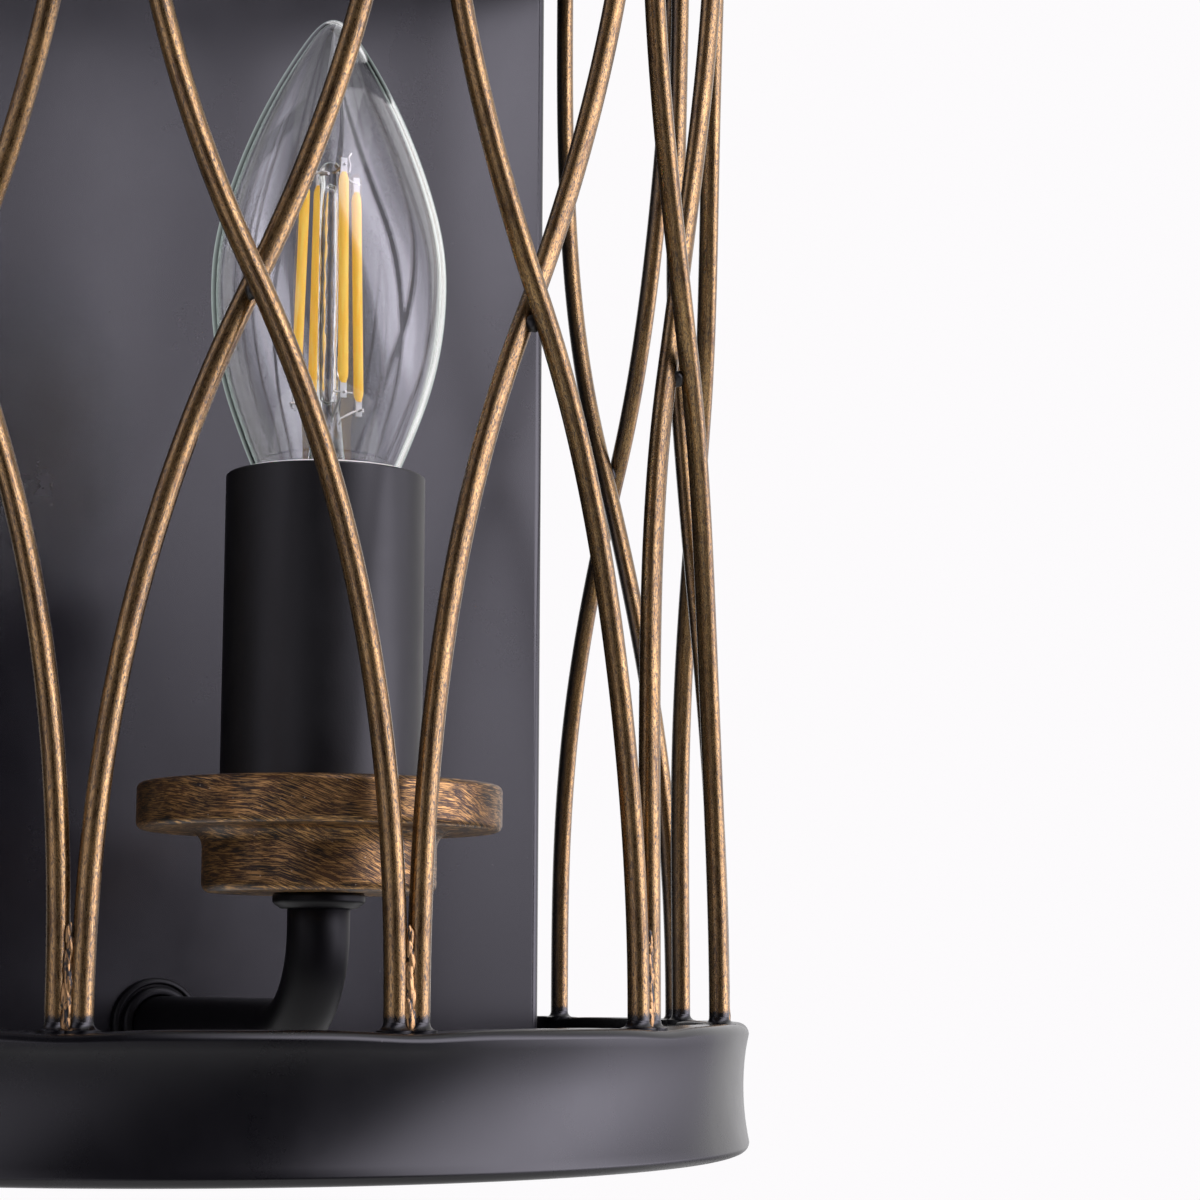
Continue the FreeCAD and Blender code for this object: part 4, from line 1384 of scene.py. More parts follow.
@dataclass
class WallBox:
    """The folded sheet box that hides the wall fixing, with its rosette."""

    sheet: float = 1.2
    fold: float = 2.0
    fold_steps: int = 6
    rosette_outline: Outline = (
        Corner(4.65, 0), Corner(7.5, 0), Corner(7.5, 1.6, 0.7), Corner(6.55, 1.6, 0.15),
        Corner(6.4, 1.2), Corner(6.1, 1.2), Corner(6.1, 3.0, 0.85), Corner(4.65, 3.0, 0.25))

    def tray(self) -> bpy.types.Object:
        """Fold the open box.

        Returns:
            The piece's object.
        """
        span, mould = Span.of("wall_box"), Mould()
        mould.block(span.low, span.high)
        back = [face for face in mould.mesh.faces if face.calc_center_median().y > span.high.y - MERGE]
        bmesh.ops.delete(mould.mesh, geom=back, context="FACES_ONLY")
        folds = [edge for edge in mould.mesh.edges if len(edge.link_faces) == 2]
        mould.ease(folds, self.fold, self.fold_steps)
        return mould.done("wall_box_shell", Body.LAMP, BOX_BLACK, "box_paint", ("wall_box",),
                          wall=self.sheet)

    def rosette(self) -> bpy.types.Object:
        """Turn the stepped rosette where the arm leaves the box.

        Returns:
            The piece's object.
        """
        span, mould = Span.of("rosette"), Mould().turn(self.rosette_outline, steps=72)
        mould.bring(at((span.middle.x, span.high.y, span.middle.z))
                    @ Matrix.Rotation(math.pi / 2, 4, "X"))
        return mould.done("arm_rosette", Body.LAMP, ARM_BLACK, "rosette_paint", ("rosette",))

    def build(self) -> None:
        """Make the box and its rosette."""
        self.tray()
        self.rosette()


@dataclass(frozen=True)
class Screw:
    """A pan-headed screw: its head, its shank, and the width of the cross recess in its head."""

    radius: float
    high: float
    shank: float
    length: float
    cross: float
    flat_share: float = 0.62
    ring_share: float = 0.72
    round_share: float = 0.5
    sunk_share: float = 0.6
    point_share: float = 0.3

    def cut(self) -> Mould:
        """Cut the screw with its head's top at zero, pointing up.

        Returns:
            The screw as a mould.
        """
        foot = -self.high - self.length
        rounding = min(self.radius, self.high) * self.round_share
        outline = [Corner(0, 0), Corner(self.radius * self.flat_share, 0),
                   Corner(self.radius * self.ring_share, 0), Corner(self.radius, 0, rounding),
                   Corner(self.radius, -self.high), Corner(self.shank, -self.high),
                   Corner(self.shank, foot, self.shank * self.point_share), Corner(0, foot)]
        return Mould().turn(outline, steps=32, closed=False).slot(
            self.cross, self.radius * self.flat_share, self.high * self.sunk_share)


@dataclass
class Fixings:
    """Everything inside the wall box: strap, screws, terminal block, earth screw and arm nut."""

    strap_ease: float = 0.25
    side_screw: Screw = Screw(3.3, 2.0, 1.75, 8.0, 1.0)
    slab_high: float = 6.0
    slab_ease: float = 0.8
    tower_spacing: float = 8.2
    tower_outline: Outline = (
        Corner(1.9, 7.0), Corner(1.9, 13.0, 0.2), Corner(3.5, 13.0, 0.5), Corner(3.5, 6.4),
        Corner(1.9, 6.4))
    throat_aside: float = 8.4
    throat_depth: float = 3.5
    throat_outline: Outline = (
        Corner(2.5, 0, 0.4), Corner(1.9, 0), Corner(1.9, 0.5), Corner(2.5, 0.5, 0.2))
    terminal_screw: Screw = Screw(1.75, 1.2, 1.2, 0.8, 0.55)
    cup_outline: Outline = (
        Corner(2.2, 0), Corner(5.0, 0, 0.15), Corner(5.0, 0.8, 0.3), Corner(3.9, 0.55),
        Corner(2.2, 0.8))
    earth_screw: Screw = Screw(4.0, 2.6, 2.0, 0.7, 1.1)
    tail_bore: float = 4.7
    washer_outline: Outline = (
        Corner(4.7, 0), Corner(8.0, 0, 0.15), Corner(8.0, 1.0, 0.3), Corner(4.7, 1.0, 0.15))
    nut_ease: float = 0.3
    depth: Matrix = field(default_factory=lambda: Matrix.Rotation(math.pi / 2, 4, "X"))

    def strap(self) -> bpy.types.Object:
        """Bend the strap, from a merged copy of its own CAD shape.

        Returns:
            The piece's object.
        """
        mould = Mould()
        mould.mesh.from_mesh(FRAME["nodes"]["wall_strap"].data)
        mould.bring(Matrix.Scale(1 / MM, 4))
        mould.tidy()
        bmesh.ops.dissolve_limit(mould.mesh, angle_limit=math.radians(1), verts=mould.mesh.verts[:],
                                 edges=mould.mesh.edges[:])
        return mould.done("strap_plate", Body.LAMP, ZINC, "strap_zinc", ("wall_strap",),
                          edge=self.strap_ease)

    def side_screws(self) -> bpy.types.Object:
        """The two screws that hold the box on the strap, one on top and one below.

        Returns:
            The piece's object.
        """
        span, pair = Span.of("side_screws"), Mould()
        for turn, height in ((0.0, span.high.z), (math.pi, span.low.z)):
            place = at((span.middle.x, span.middle.y, height)) @ Matrix.Rotation(turn, 4, "X")
            pair.take(self.side_screw.cut(), place)
        return pair.done("box_screws", Body.LAMP, ARM_BLACK, "screw_black", ("side_screws",))

    def terminals(self) -> None:
        """The terminal block with three clamp towers, and the screws in them."""
        block, screws = Span.of("terminal_block"), Span.of("terminal_screws")
        slab_front = block.low.y + self.slab_high
        slab_corner = (block.low.x, slab_front, block.low.z)
        body, heads = Mould().block(slab_corner, block.high, self.slab_ease), Mould()
        for place in (-1, 0, 1):
            x = place * self.tower_spacing
            tower = Mould().turn(self.tower_outline, steps=32)
            body.take(tower, at((x, block.high.y, block.middle.z)) @ self.depth)
            for end in (-1, 1):
                throat = Mould().turn(self.throat_outline, steps=24)
                mouth = (x, slab_front + self.throat_depth, block.middle.z + end * self.throat_aside)
                body.take(throat, at(mouth) @ Matrix.Rotation(0 if end > 0 else math.pi, 4, "X"))
            heads.take(self.terminal_screw.cut(), at((x, screws.low.y, screws.middle.z)) @ self.depth)
        body.done("terminal_body", Body.LAMP, BLOCK_CREAM, "block_plastic", ("terminal_block",))
        heads.done("terminal_heads", Body.LAMP, ZINC, "terminal_steel", ("terminal_screws",))

    def earth(self) -> None:
        """The earth screw on its cupped washer."""
        washer, screw = Span.of("earth_washer"), Span.of("earth_screw")
        cup = Mould().turn(self.cup_outline, steps=48)
        cup.bring(at((washer.middle.x, washer.high.y, washer.middle.z)) @ self.depth)
        cup.done("earth_cup", Body.LAMP, BRASS, "earth_washer_brass", ("earth_washer",))
        head = self.earth_screw.cut()
        head.bring(at((screw.middle.x, screw.low.y, screw.middle.z)) @ self.depth)
        head.done("earth_head", Body.LAMP, BRASS, "earth_screw_brass", ("earth_screw",))

    def arm_nut(self) -> None:
        """The nut and washer that hold the arm inside the box."""
        nut, washer = Span.of("arm_nut"), Span.of("arm_washer")
        across = (nut.high.z - nut.low.z) / 2
        ring = Mould().turn(self.washer_outline, steps=48)
        ring.bring(at((washer.middle.x, washer.high.y, washer.middle.z)) @ self.depth)
        ring.done("arm_ring", Body.LAMP, ZINC, "washer_zinc", ("arm_washer",))
        hexagon = Mould()
        place = at((nut.middle.x, nut.high.y, nut.middle.z)) @ self.depth
        for radius, steps in ((across * 2 / math.sqrt(3), 6), (self.tail_bore, 48)):
            hexagon.ring(radius, steps, Matrix.Identity(4))
        made = bmesh.ops.triangle_fill(hexagon.mesh, edges=hexagon.mesh.edges[:], use_beauty=True)
        faces = [part for part in made["geom"] if isinstance(part, bmesh.types.BMFace)]
        raised = bmesh.ops.extrude_face_region(hexagon.mesh, geom=faces, use_keep_orig=True)["geom"]
        bmesh.ops.translate(hexagon.mesh, vec=(0, 0, nut.high.y - nut.low.y),
                            verts=[part for part in raised if isinstance(part, bmesh.types.BMVert)])
        hexagon.tidy()
        hexagon.bring(place)
        hexagon.done("arm_hexagon", Body.LAMP, ZINC, "nut_zinc", ("arm_nut",), edge=self.nut_ease)

    def build(self) -> None:
        """Make every fixing."""
        self.strap()
        self.side_screws()
        self.terminals()
        self.earth()
        self.arm_nut()


# The candle


@dataclass
class CandleArm:
    """The bent tube that carries the candle, with its collar and drip pan."""

    tube: float = 9.0
    wall: float = 1.0
    bend: float = 14.0
    tube_sides: int = 48
    run_steps: int = 12
    bend_steps: int = 28
    collar_outline: Outline = (
        Corner(3.7, 0), Corner(5.4, 0, 0.3), Corner(6.1, 0.45, 0.3), Corner(6.65, 0.9, 0.25),
        Corner(6.65, 2.2, 0.45), Corner(3.7, 2.2))
    pan_foot: float = 16.8
    pan_disc: float = 26.2
    pan_step: float = 8.9
    pan_high: float = 15.5
    pan_bore: float = 3.6

    def arm(self) -> bpy.types.Object:
        """Bend the tube, from inside the box out and up to the collar.

        Returns:
            The piece's object.
        """
        span, mould = Span.of("arm"), Mould()
        level = span.low.z + self.tube / 2
        rise_y = span.low.y + self.tube / 2
        bend_y, bend_z = rise_y + self.bend, level + self.bend
        tail = at((span.middle.x, span.high.y, level)) @ Matrix.Rotation(math.pi / 2, 4, "X")
        edges = mould.ring(self.tube / 2, self.tube_sides, tail)
        for _ in range(self.run_steps):
            edges = mould.push(edges, at((0, (bend_y - span.high.y) / self.run_steps, 0)))
        edges = mould.swing(edges, (0, bend_y, bend_z), (1, 0, 0), -math.pi / 2, self.bend_steps)
        mould.push(edges, at((0, 0, span.high.z - bend_z)))
        mould.tidy()
        return mould.done("arm_tube", Body.LAMP, ARM_BLACK, "arm_paint", ("arm",), wall=self.wall)

    def collar(self) -> bpy.types.Object:
        """Turn the flange on top of the arm.

        Returns:
            The piece's object.
        """
        mould = Mould().turn(self.collar_outline, steps=64)
        mould.bring(at(Span.of("arm_collar").foot))
        return mould.done("arm_flange", Body.LAMP, ARM_BLACK, "collar_paint", ("arm_collar",))

    def pan(self) -> bpy.types.Object:
        """Turn the drip pan: a foot that flares into a thick disc.

        Returns:
            The piece's object.
        """
        foot, disc, step = self.pan_foot, self.pan_disc, self.pan_step
        mould = Mould().turn([Corner(self.pan_bore, 0), Corner(foot, 0, 1.3), Corner(foot, step, 2.5),
                              Corner(disc, step, 1.0), Corner(disc, self.pan_high, 0.9),
                              Corner(self.pan_bore, self.pan_high)], steps=128, easing=6)
        mould.bring(at(Span.of("drip_pan").foot))
        return mould.done("pan_disc", Body.LAMP, PAN_BRONZE, "pan_bronze", ("drip_pan",))

    def build(self) -> None:
        """Make the arm, its collar and the pan."""
        self.arm()
        self.collar()
        self.pan()


@dataclass
class CandleHolder:
    """The lampholder and the sleeve over it, with their inner pieces."""

    holder_radius: float = 13.2
    holder_high: float = 45.4
    holder_bore: float = 3.6
    holder_neck: float = 2.4
    holder_neck_floor: float = 6.5
    mouth_radius: float = 11.6
    mouth_floor: float = 37.4
    cavity_radius: float = 8.1
    cavity_floor: float = 13.4
    shell_radius: float = 7.45
    shell_depth: float = 0.28
    shell_rise: float = 1.4
    shell_turns: int = 5
    shell_wall: float = 0.3
    contact_outline: Outline = (
        Corner(0, 0), Corner(4.0, 0, 0.15), Corner(4.0, 0.6, 0.15), Corner(2.0, 0.6, 0.4),
        Corner(2.0, 2.7, 0.5), Corner(0, 2.7))
    tube_bore: float = 2.4
    tube_root: float = 3.1
    tube_crest: float = 3.4
    tube_pitch: float = 1.0
    sleeve_bore: float = 13.5
    sleeve_radius: float = 14.5

    def holder(self) -> bpy.types.Object:
        """Turn the moulded lampholder with its stepped mouth.

        Returns:
            The piece's object.
        """
        radius, high, bore = self.holder_radius, self.holder_high, self.holder_bore
        mouth, cavity, neck = self.mouth_radius, self.cavity_radius, self.holder_neck
        mould = Mould().turn([
            Corner(bore, 0), Corner(radius, 0, 0.4), Corner(radius, high, 0.25),
            Corner(mouth, high, 0.25), Corner(mouth, self.mouth_floor, 0.3),
            Corner(cavity, self.mouth_floor, 0.5), Corner(cavity, self.cavity_floor, 0.4),
            Corner(neck, self.cavity_floor), Corner(neck, self.holder_neck_floor),
            Corner(bore, self.holder_neck_floor)], steps=72)
        mould.bring(at(Span.of("lampholder").foot))
        return mould.done("holder_cup", Body.LAMP, HOLDER_CREAM, "holder_plastic", ("lampholder",))

    def shell(self) -> bpy.types.Object:
        """Roll the screw shell with its thread.

        Returns:
            The piece's object.
        """
        mould = thread_tube(self.shell_radius, self.shell_depth, THREAD_PITCH, self.shell_turns,
                            self.shell_rise)
        mould.bring(at(Span.of("screw_shell").foot))
        return mould.done("shell_thread", Body.LAMP, NICKEL, "shell_nickel", ("screw_shell",),
                          wall=self.shell_wall)

    def contact(self) -> bpy.types.Object:
        """Turn the sprung centre contact.

        Returns:
            The piece's object.
        """
        mould = Mould().turn(self.contact_outline, steps=40, closed=False)
        mould.bring(at(Span.of("centre_contact").foot))
        return mould.done("contact_tongue", Body.LAMP, BRASS, "contact_brass", ("centre_contact",))

    def tube(self) -> bpy.types.Object:
        """Turn the threaded tube that clamps the pan to the lampholder.

        Returns:
            The piece's object.
        """
        span = Span.of("threaded_tube")
        corners = [Corner(self.tube_bore, 0)]
        pitch, high = self.tube_pitch, span.high.z - span.low.z
        for turn in range(int(high / pitch)):
            corners += [Corner(self.tube_root, turn * pitch),
                        Corner(self.tube_crest, (turn + 0.5) * pitch)]
        corners += [Corner(self.tube_root, high), Corner(self.tube_bore, high)]
        mould = Mould().turn(corners, steps=36)
        mould.bring(at(span.foot))
        return mould.done("clamp_tube", Body.LAMP, ZINC, "tube_zinc", ("threaded_tube",))

    def sleeve(self) -> bpy.types.Object:
        """Turn the plain candle sleeve.

        Returns:
            The piece's object.
        """
        span = Span.of("candle_sleeve")
        high = span.high.z - span.low.z
        bore, radius = self.sleeve_bore, self.sleeve_radius
        mould = Mould().turn([Corner(bore, 0), Corner(radius, 0, 0.25), Corner(radius, high, 0.3),
                              Corner(bore, high, 0.2)], steps=128)
        mould.bring(at(span.foot))
        return mould.done("sleeve_tube", Body.SLEEVE, SLEEVE_BLACK, "sleeve_black",
                          ("candle_sleeve",))

    def leads(self) -> None:
        """Dress the two insulated leads, whose CAD shape is already right."""
        node = FRAME["nodes"]["lamp_leads"]
        node.data.materials.clear()
        node.data.materials.append(LEAD_WHITE.material())
        LOG.info("lamp_leads keeps its CAD shape")

    def build(self) -> None:
        """Make the holder and everything in it."""
        self.holder()
        self.shell()
        self.contact()
        self.tube()
        self.sleeve()
        self.leads()


def thread_tube(radius: float, depth: float, pitch: float, turns: int, low: float) -> Mould:
    """A thin tube rolled into a round thread.

    Args:
        radius: middle radius of the thread.
        depth: how far the thread swings in and out.
        pitch: rise of one turn.
        turns: number of turns.
        low: height of the lowest point.

    Returns:
        The thread as an open tube.
    """
    mould, points, steps = Mould(), 9, 48
    line = [mould.point((radius + depth * math.cos(math.tau * step / (points - 1)), 0,
                         low + pitch * step / (points - 1))) for step in range(points)]
    wire = [mould.mesh.edges.new(pair) for pair in zip(line, line[1:])]
    bmesh.ops.spin(mould.mesh, geom=line + wire, cent=(0, 0, 0), axis=(0, 0, 1),
                   dvec=(0, 0, pitch / steps), angle=math.tau * turns, steps=steps * turns,
                   use_merge=False, use_duplicate=False)
    mould.tidy()
    return mould


@dataclass
class Bulb:
    """The clear candle bulb: cap, glass, stem, filaments and their wires."""

    high: float = 76.6
    wide: float = 35.0
    wall: float = 0.7
    outline_shares: Pairs = (
        (0.0, 0.214), (0.046, 0.238), (0.105, 0.308), (0.18, 0.372), (0.26, 0.437), (0.36, 0.485),
        (0.46, 0.5), (0.56, 0.487), (0.69, 0.404), (0.80, 0.307), (0.89, 0.204), (0.95, 0.122),
        (0.977, 0.080), (0.994, 0.040), (1.0, 0.0))
    tip_outline: Outline = (
        Corner(0, 0), Corner(1.5, 0), Corner(2.4, 0.5, 0.3), Corner(2.4, 1.2), Corner(0, 1.2))
    insulator_outline: Outline = (
        Corner(0, 0), Corner(2.4, 0), Corner(3.4, 0.35), Corner(5.2, 2.2, 0.5), Corner(5.3, 2.6),
        Corner(0, 2.6))
    cap_wall: float = 0.3
    cap_thread: float = 6.55
    cap_thread_depth: float = 0.38
    cap_thread_low: float = 1.9
    cap_thread_turns: int = 4
    cap_base_outline: Outline = (
        Corner(5.3, 0), Corner(6.2, 0.5), Corner(6.9, 1.8), Corner(6.9, 2.4))
    cap_collar_outline: Outline = (
        Corner(6.6, 13.0), Corner(6.9, 14.6), Corner(7.3, 15.6), Corner(7.65, 17.4))
    stem_outline: Outline = (
        Corner(0, 0), Corner(6.3, 0), Corner(5.6, 1.6), Corner(3.9, 4.6), Corner(3.1, 8.2),
        Corner(2.6, 11.4), Corner(2.3, 13.6), Corner(2.2, 15.6), Corner(1.65, 17.0),
        Corner(1.6, 20.0), Corner(1.6, 50.6), Corner(1.75, 51.6), Corner(1.9, 52.8),
        Corner(1.5, 54.1), Corner(0, 54.6))
    stem_bore_outline: Outline = (
        Corner(0, 17.6), Corner(0.75, 18.4), Corner(1.02, 20.0), Corner(1.02, 49.6),
        Corner(0.6, 50.8), Corner(0, 51.2))
    stem_turn: float = 28.0
    pinch_low: float = 7.0
    pinch_high: float = 9.9
    pinch_grain: float = 0.55
    pinch_wide_share: float = 0.28
    pinch_thin_share: float = 0.35
    crumple_share: float = 0.2
    spoke: float = 5.1
    spoke_draw: float = 0.9
    filament_count: int = 4
    filament_turn: float = 4.0
    filament_low: float = 1.7
    filament_high: float = 0.7
    filament_stagger: float = 0.7
    filament_radius: float = 0.74
    filament_neck: float = 0.42
    filament_taper: float = 1.1
    pin_size: Triple = (1.0, 0.32, 2.7)
    pin_ease: float = 0.06
    pin_below: float = 2.2
    pin_sunk: float = 0.5
    wire_radius: float = 0.2
    wire_start: float = 15.2
    wire_drop: float = 1.4
    wire_rise: float = 1.2
    bead_high: float = 52.8
    bar_radius: float = 0.18
    bar_reach: float = 1.5
    hook_radius: float = 0.22
    hook_place: Triple = (2.3, -1.2, 53.0)
    hook_bends: tuple[Triple, ...] = ((0.2, 0, 1.2), (-0.2, 0, 2.2), (0.3, 0, 3.0))

    def __post_init__(self) -> None:
        """Find the neck that the glass stands on."""
        self.neck = Span.of("bulb_glass").foot

    def contact(self) -> None:
        """Turn the solder contact, and the black glass ring round it."""
        tip = Mould().turn(self.tip_outline, steps=36, closed=False)
        tip.bring(at(Span.of("bulb_contact").foot))
        tip.done("cap_solder", Body.FOOT, SOLDER, "bulb_solder", ("bulb_contact",))
        ring = Mould().turn(self.insulator_outline, steps=48, closed=False)
        ring.bring(at(Span.of("bulb_insulator").foot))
        ring.done("cap_insulator", Body.BULB, CAP_BLACK, "bulb_black_glass", ("bulb_insulator",))

    def cap(self) -> None:
        """Roll the screw cap with its thread, and the plain collar above it."""
        mould = thread_tube(self.cap_thread, self.cap_thread_depth, THREAD_PITCH,
                            self.cap_thread_turns, self.cap_thread_low)
        mould.take(Mould().turn(self.cap_base_outline, steps=48, closed=False))
        mould.take(Mould().turn(self.cap_collar_outline, steps=48, closed=False))
        mould.bring(at(Span.of("bulb_cap").foot))
        mould.done("cap_thread", Body.BULB, NICKEL, "bulb_cap_nickel", ("bulb_cap",),
                   wall=self.cap_wall)

    def glass(self) -> None:
        """Blow the candle-shaped glass."""
        outline = [Corner(self.wide * share, self.high * rise) for rise, share in self.outline_shares]
        mould = Mould().turn(outline, steps=40, closed=False)
        mould.bring(at(self.neck))
        mould.done("glass_candle", Body.BULB, BULB_GLASS, "bulb_clear_glass", ("bulb_glass",),
                   wall=self.wall, smooth=2)

    def stem(self) -> None:
        """Draw the flared stem, its pinch, and the rod with a bead on top."""
        mould = Mould().turn(self.stem_outline, steps=24, closed=False)
        hollow = Mould().turn(self.stem_bore_outline, steps=24, closed=False)
        bmesh.ops.reverse_faces(hollow.mesh, faces=hollow.mesh.faces[:])
        mould.take(hollow)
        for vert in mould.mesh.verts:
            if self.pinch_low < vert.co.z < self.pinch_low + self.pinch_high:
                pinch = math.sin(math.pi * (vert.co.z - self.pinch_low) / self.pinch_high)
                wave = noise.noise(vert.co * self.pinch_grain) * pinch * self.crumple_share
                vert.co.x *= 1 + self.pinch_wide_share * pinch + wave
                vert.co.y *= 1 - self.pinch_thin_share * pinch + wave
        mould.bring(at(self.neck) @ Matrix.Rotation(math.radians(self.stem_turn), 4, "Z"))
        mould.done("glass_stem", Body.BULB, STEM_GLASS, "bulb_stem_glass", ("bulb_stem",), smooth=1)

    def legs(self) -> list[tuple[Vector, Vector]]:
        """The bottom and top of each filament, within the height of the CAD's own four.

        Returns:
            The bottom and the top of each.
        """
        span = Span.of("filaments")
        found = []
        for number in range(self.filament_count):
            around = math.tau * number / self.filament_count + math.radians(self.filament_turn)
            side = Vector((math.cos(around), math.sin(around), 0))
            lift = self.filament_stagger if number % 2 else -self.filament_stagger
            low = Vector((self.neck.x, self.neck.y, span.low.z + self.filament_low + lift))
            high = Vector((self.neck.x, self.neck.y, span.high.z - self.filament_high + lift))
            found.append((low + side * self.spoke, high + side * (self.spoke - self.spoke_draw)))
        return found

    def filaments(self) -> None:
        """Coat the four filaments, and put the white pins on their ends."""
        sticks, pins = Mould(), Mould()
        for low, high in self.legs():
            length = (high - low).length
            aim = (high - low).normalized()
            place = at(low) @ UPRIGHT.rotation_difference(aim).to_matrix().to_4x4()
            stick = Mould().turn([
                Corner(0, 0), Corner(self.filament_neck, 0),
                Corner(self.filament_radius, self.filament_taper, 0.3),
                Corner(self.filament_radius, length - self.filament_taper, 0.3),
                Corner(self.filament_neck, length), Corner(0, length)], steps=20, closed=False)
            sticks.take(stick, place)
            wide, thick, tall = self.pin_size
            for base in (-self.pin_below, length - self.pin_sunk):
                pin = Mould().block((-wide / 2, -thick / 2, base), (wide / 2, thick / 2, base + tall),
                                    self.pin_ease)
                pins.take(pin, place)
        sticks.done("filament_sticks", Body.BULB, PHOSPHOR, "filament_phosphor", ("filaments",))
        pins.done("filament_pins", Body.BULB, PIN_WHITE, "filament_wire")

    def wires(self) -> None:
        """Bend the wires that carry the filaments from the stem and the bead."""
        bundle = Mould()
        centre = Vector((self.neck.x, self.neck.y, 0))
        for low, high in self.legs():
            side = low - centre
            side.z = 0
            side.normalize()
            foot, bar = low - UPRIGHT * self.wire_drop, side.cross(UPRIGHT) * self.bar_reach
            start = centre + side * 1.2 + UPRIGHT * (self.neck.z + self.wire_start)
            bundle.take(wire([start, start + side * 0.9 + UPRIGHT, foot - side * 0.5,
                              foot + side * 0.9], self.wire_radius))
            bundle.take(wire([foot - bar, foot + bar], self.bar_radius))
            crown = high + UPRIGHT * self.wire_rise
            bead = centre + side * 0.5 + UPRIGHT * (self.neck.z + self.bead_high)
            bundle.take(wire([bead, bead + side * 1.4, crown - side * 0.2, crown + side * 0.7],
                             self.wire_radius))
        hook = self.neck + Vector(self.hook_place)
        bends = [hook + Vector(bend) for bend in self.hook_bends]
        bundle.take(wire([hook, *bends], self.hook_radius))
        bundle.done("filament_wires", Body.BULB, WIRE, "filament_wire", ("filament_leads",))

    def build(self) -> None:
        """Make the whole bulb."""
        self.contact()
        self.cap()
        self.glass()
        self.stem()
        self.filaments()
        self.wires()


def wire(points: Sequence[Vector], radius: float, sides: int = 10) -> Mould:
    """A thin wire through points, with its corners rounded by short steps.

    Args:
        points: the corners of its line.
        radius: its radius.
        sides: number of its sides.

    Returns:
        The wire as a mould.
    """
    line, rounding = [points[0]], 0.3
    for before, corner, after in zip(points, points[1:], points[2:]):
        start, end = corner.lerp(before, rounding), corner.lerp(after, rounding)
        for share in (0.25, 0.5, 0.75):
            line.append(start.lerp(corner, share).lerp(corner.lerp(end, share), share))
    line.append(points[-1])
    mould = Mould()
    frame, edges, before_frame = Matrix.Identity(3), [], Matrix.Identity(4)
    for step, place in enumerate(line):
        ahead = (line[min(step + 1, len(line) - 1)] - line[max(step - 1, 0)]).normalized()
        frame = frame.col[2].rotation_difference(ahead).to_matrix() @ frame
        here = frame.to_4x4()
        here.translation = place
        if step == 0:
            edges = mould.ring(radius, sides, here)
            mould.cap(edges)
        else:
            edges = mould.push(edges, here @ before_frame.inverted())
        before_frame = here
    mould.cap(edges)
    bmesh.ops.recalc_face_normals(mould.mesh, faces=mould.mesh.faces[:])
    return mould


# The studio


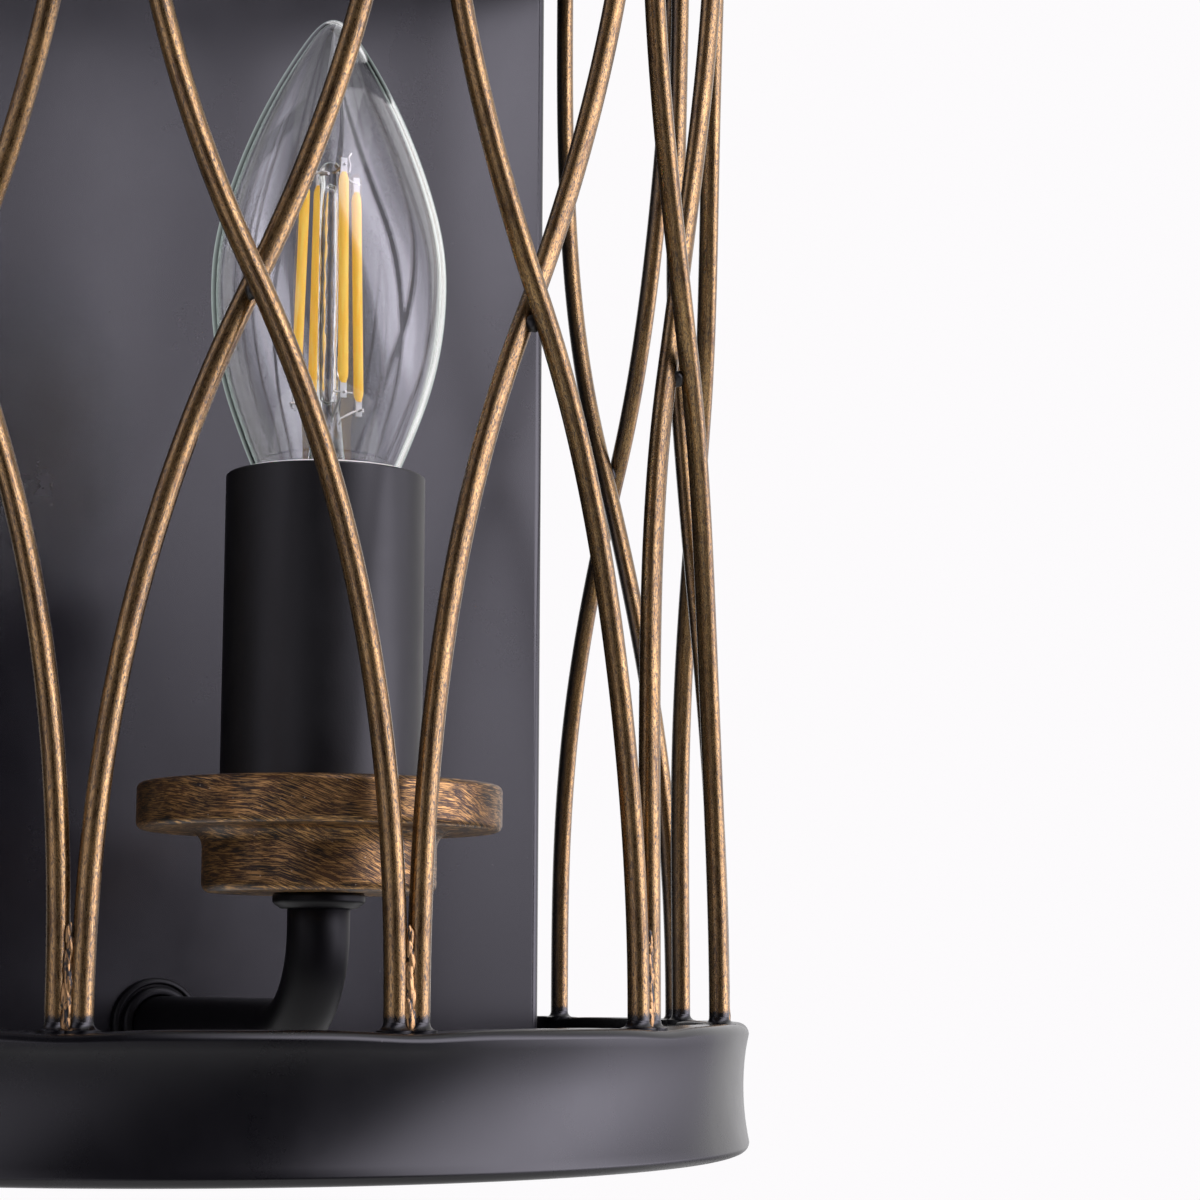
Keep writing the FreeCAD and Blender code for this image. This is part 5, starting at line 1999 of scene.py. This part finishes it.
@dataclass
class Studio:
    """A plain pale floor, soft light all around, and a camera where the photograph was taken from."""

    eye: Triple = (-152.292, -488.633, -94.625)
    right: Triple = (0.88709712, -0.46156609, 0.00393021)
    up: Triple = (-0.0652496, -0.11696686, 0.99099003)
    ahead: Triple = (0.45694769, 0.87936085, 0.13387797)
    focus_pixels: float = 2827.28
    sensor: float = 36.0
    clip: tuple[float, float] = (0.01, 100.0)
    floor_z: float = -900.0
    floor_radius: float = 2200.0
    floor_sides: int = 96
    sky_power: float = 6.0
    lean: float = 58.0
    backdrop: float = 0.975
    backdrop_from: float = 110.0
    paper: Colour = (1.0, 0.985, 1.0)
    cool: Colour = (0.985, 0.94, 1.10)
    light_by_turn: Pairs = (
        (-180, 0.97), (-165, 0.90), (-145, 0.08), (-120, 0.02), (-98, 0.20), (-72, 1.1), (-52, 0.80),
        (-32, 0.06), (-16, 0.01), (8, 0.01), (18, 0.05), (23, 0.60), (29, 2.7), (42, 3.7), (56, 4.9),
        (72, 4.0), (86, 2.0), (104, 0.9), (116, 0.95), (150, 0.98), (180, 0.97))
    light_by_rise: Pairs = (
        (0.0, 0.05), (0.32, 0.15), (0.40, 0.45), (0.46, 0.97), (0.52, 1.0), (0.86, 1.0), (0.94, 0.35),
        (1.0, 0.20))
    box_place: Triple = (250.0, -300.0, 1200.0)
    box_aim: Triple = (0.0, -60.0, 0.0)
    box_size: tuple[float, float] = (900.0, 700.0)
    box_power: float = 1.5

    def camera(self) -> None:
        """Set the camera up at the photograph's place and angle."""
        data = bpy.data.cameras.new("photo_camera")
        data.sensor_width = self.sensor
        data.lens = self.sensor * self.focus_pixels / PICTURE
        data.clip_start, data.clip_end = self.clip
        camera = bpy.data.objects.new("photo_camera", data)
        bpy.context.scene.collection.objects.link(camera)
        axes = Matrix((self.right, self.up, -Vector(self.ahead))).transposed()
        camera.matrix_world = Matrix.LocRotScale(Vector(self.eye) * MM, axes.to_quaternion(), None)
        bpy.context.scene.camera = camera

    def floor(self) -> None:
        """Lay the pale floor, well below the lamp."""
        mould = Mould()
        bmesh.ops.create_circle(mould.mesh, cap_ends=True, radius=self.floor_radius,
                                segments=self.floor_sides, matrix=at((0, 0, self.floor_z)))
        mesh = bpy.data.meshes.new("studio_floor")
        mould.bring(Matrix.Scale(MM, 4))
        mould.mesh.to_mesh(mesh)
        mould.mesh.free()
        mesh.materials.append(PaleFloor("floor paper").material())
        floor = bpy.data.objects.new("studio_floor", mesh)
        bpy.context.scene.collection.objects.link(floor)

    def soft_box(self) -> None:
        """Hang one weak soft box above the lamp."""
        data = bpy.data.lights.new("top_box", "AREA")
        data.shape, data.energy = "RECTANGLE", self.box_power
        data.size, data.size_y = (side * MM for side in self.box_size)
        box = bpy.data.objects.new("top_box", data)
        bpy.context.scene.collection.objects.link(box)
        place, way = Vector(self.box_place), Vector(self.box_aim) - Vector(self.box_place)
        box.matrix_world = Matrix.LocRotScale(place * MM, way.to_track_quat("-Z", "Y"), None)

    def sky(self) -> None:
        """Fill the studio with soft light from around the lamp, before a plain pale backdrop."""
        world = bpy.data.worlds.new("studio_air")
        world.use_nodes = True
        tree = world.node_tree
        coordinates = tree.nodes.new("ShaderNodeTexCoord")
        parts = tree.nodes.new("ShaderNodeSeparateXYZ")
        tree.links.new(coordinates.outputs["Generated"], parts.inputs[0])

        def step(operation: str, first: "Socket | float", second: "Socket | float",
                 third: "Socket | float" = 0.0) -> Socket:
            """One step of arithmetic on a direction.

            Args:
                operation: the step, by Blender's name for it.
                first: the first value.
                second: the second value.
                third: the third value, where the step takes one.

            Returns:
                The result as a socket.
            """
            node = tree.nodes.new("ShaderNodeMath")
            node.operation = operation
            for socket, value in zip(node.inputs, (first, second, third)):
                if isinstance(value, bpy.types.NodeSocket):
                    tree.links.new(value, socket)
                else:
                    socket.default_value = value
            return node.outputs[0]

        def fade(place: Socket, stops: Stops) -> Socket:
            """A soft run of greys along a value from 0 to 1.

            Args:
                place: the value.
                stops: the stops, in rising order.

            Returns:
                The grey as a socket.
            """
            node = tree.nodes.new("ShaderNodeValToRGB")
            node.color_ramp.interpolation = "EASE"
            while len(node.color_ramp.elements) < len(stops):
                node.color_ramp.elements.new(1.0)
            for element, (spot, tone) in zip(node.color_ramp.elements, stops):
                element.position, element.color = spot, (*tone, 1.0)
            tree.links.new(place, node.inputs[0])
            return node.outputs[0]

        turned = step("ARCTAN2", parts.outputs["X"], step("MULTIPLY", parts.outputs["Y"], -1.0))
        turned = step("MULTIPLY_ADD", parts.outputs["Z"], math.radians(self.lean), turned)
        stops = []
        for angle, light in self.light_by_turn:
            tint = self.paper if abs(angle) > self.backdrop_from else self.cool
            stops.append((0.5 + angle / 360, tuple(light / self.sky_power * part for part in tint)))
        around = fade(step("MULTIPLY_ADD", turned, 1 / math.tau, 0.5), stops)
        rise = fade(step("MULTIPLY_ADD", parts.outputs["Z"], 0.5, 0.5),
                    [(spot, (light, light, light)) for spot, light in self.light_by_rise])
        back = tree.nodes["Background"]
        both = tree.nodes.new("ShaderNodeMix")
        both.data_type, both.blend_type = "RGBA", "MULTIPLY"
        both.inputs[0].default_value = 1.0
        tree.links.new(around, both.inputs[6])
        tree.links.new(rise, both.inputs[7])
        seen = tree.nodes.new("ShaderNodeMix")
        seen.data_type = "RGBA"
        plain_paper = (part * self.backdrop / self.sky_power for part in self.paper)
        seen.inputs[7].default_value = (*plain_paper, 1.0)
        path = tree.nodes.new("ShaderNodeLightPath")
        tree.links.new(path.outputs["Is Camera Ray"], seen.inputs[0])
        tree.links.new(both.outputs[2], seen.inputs[6])
        tree.links.new(seen.outputs[2], back.inputs["Color"])
        back.inputs["Strength"].default_value = self.sky_power
        bpy.context.scene.world = world
        bpy.context.scene.view_settings.view_transform = "Standard"

    def build(self) -> None:
        """Set the whole studio up."""
        self.camera()
        self.floor()
        self.sky()
        self.soft_box()


@dataclass
class WallLamp:
    """The whole lamp, built in order."""

    plan: CagePlan = field(default_factory=CagePlan)

    def build(self) -> None:
        """Build every sub-assembly and report it."""
        steps: list[tuple[str, Callable[[], None]]] = [
            ("wall box", WallBox().build), ("fixings", Fixings().build),
            ("candle arm", CandleArm().build), ("candle holder", CandleHolder().build),
            ("bulb", Bulb().build), ("bands", CageBands(self.plan).build),
            ("rods", CageRods(self.plan).build)]
        for name, build in steps:
            build()
            LOG.info("built the %s", name)


def main() -> None:
    """Load the frame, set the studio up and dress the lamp."""
    logging.basicConfig(level=logging.INFO, format="%(message)s")
    FRAME.update(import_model())
    Studio().build()
    WallLamp().build()


if __name__ == "__main__":
    main()
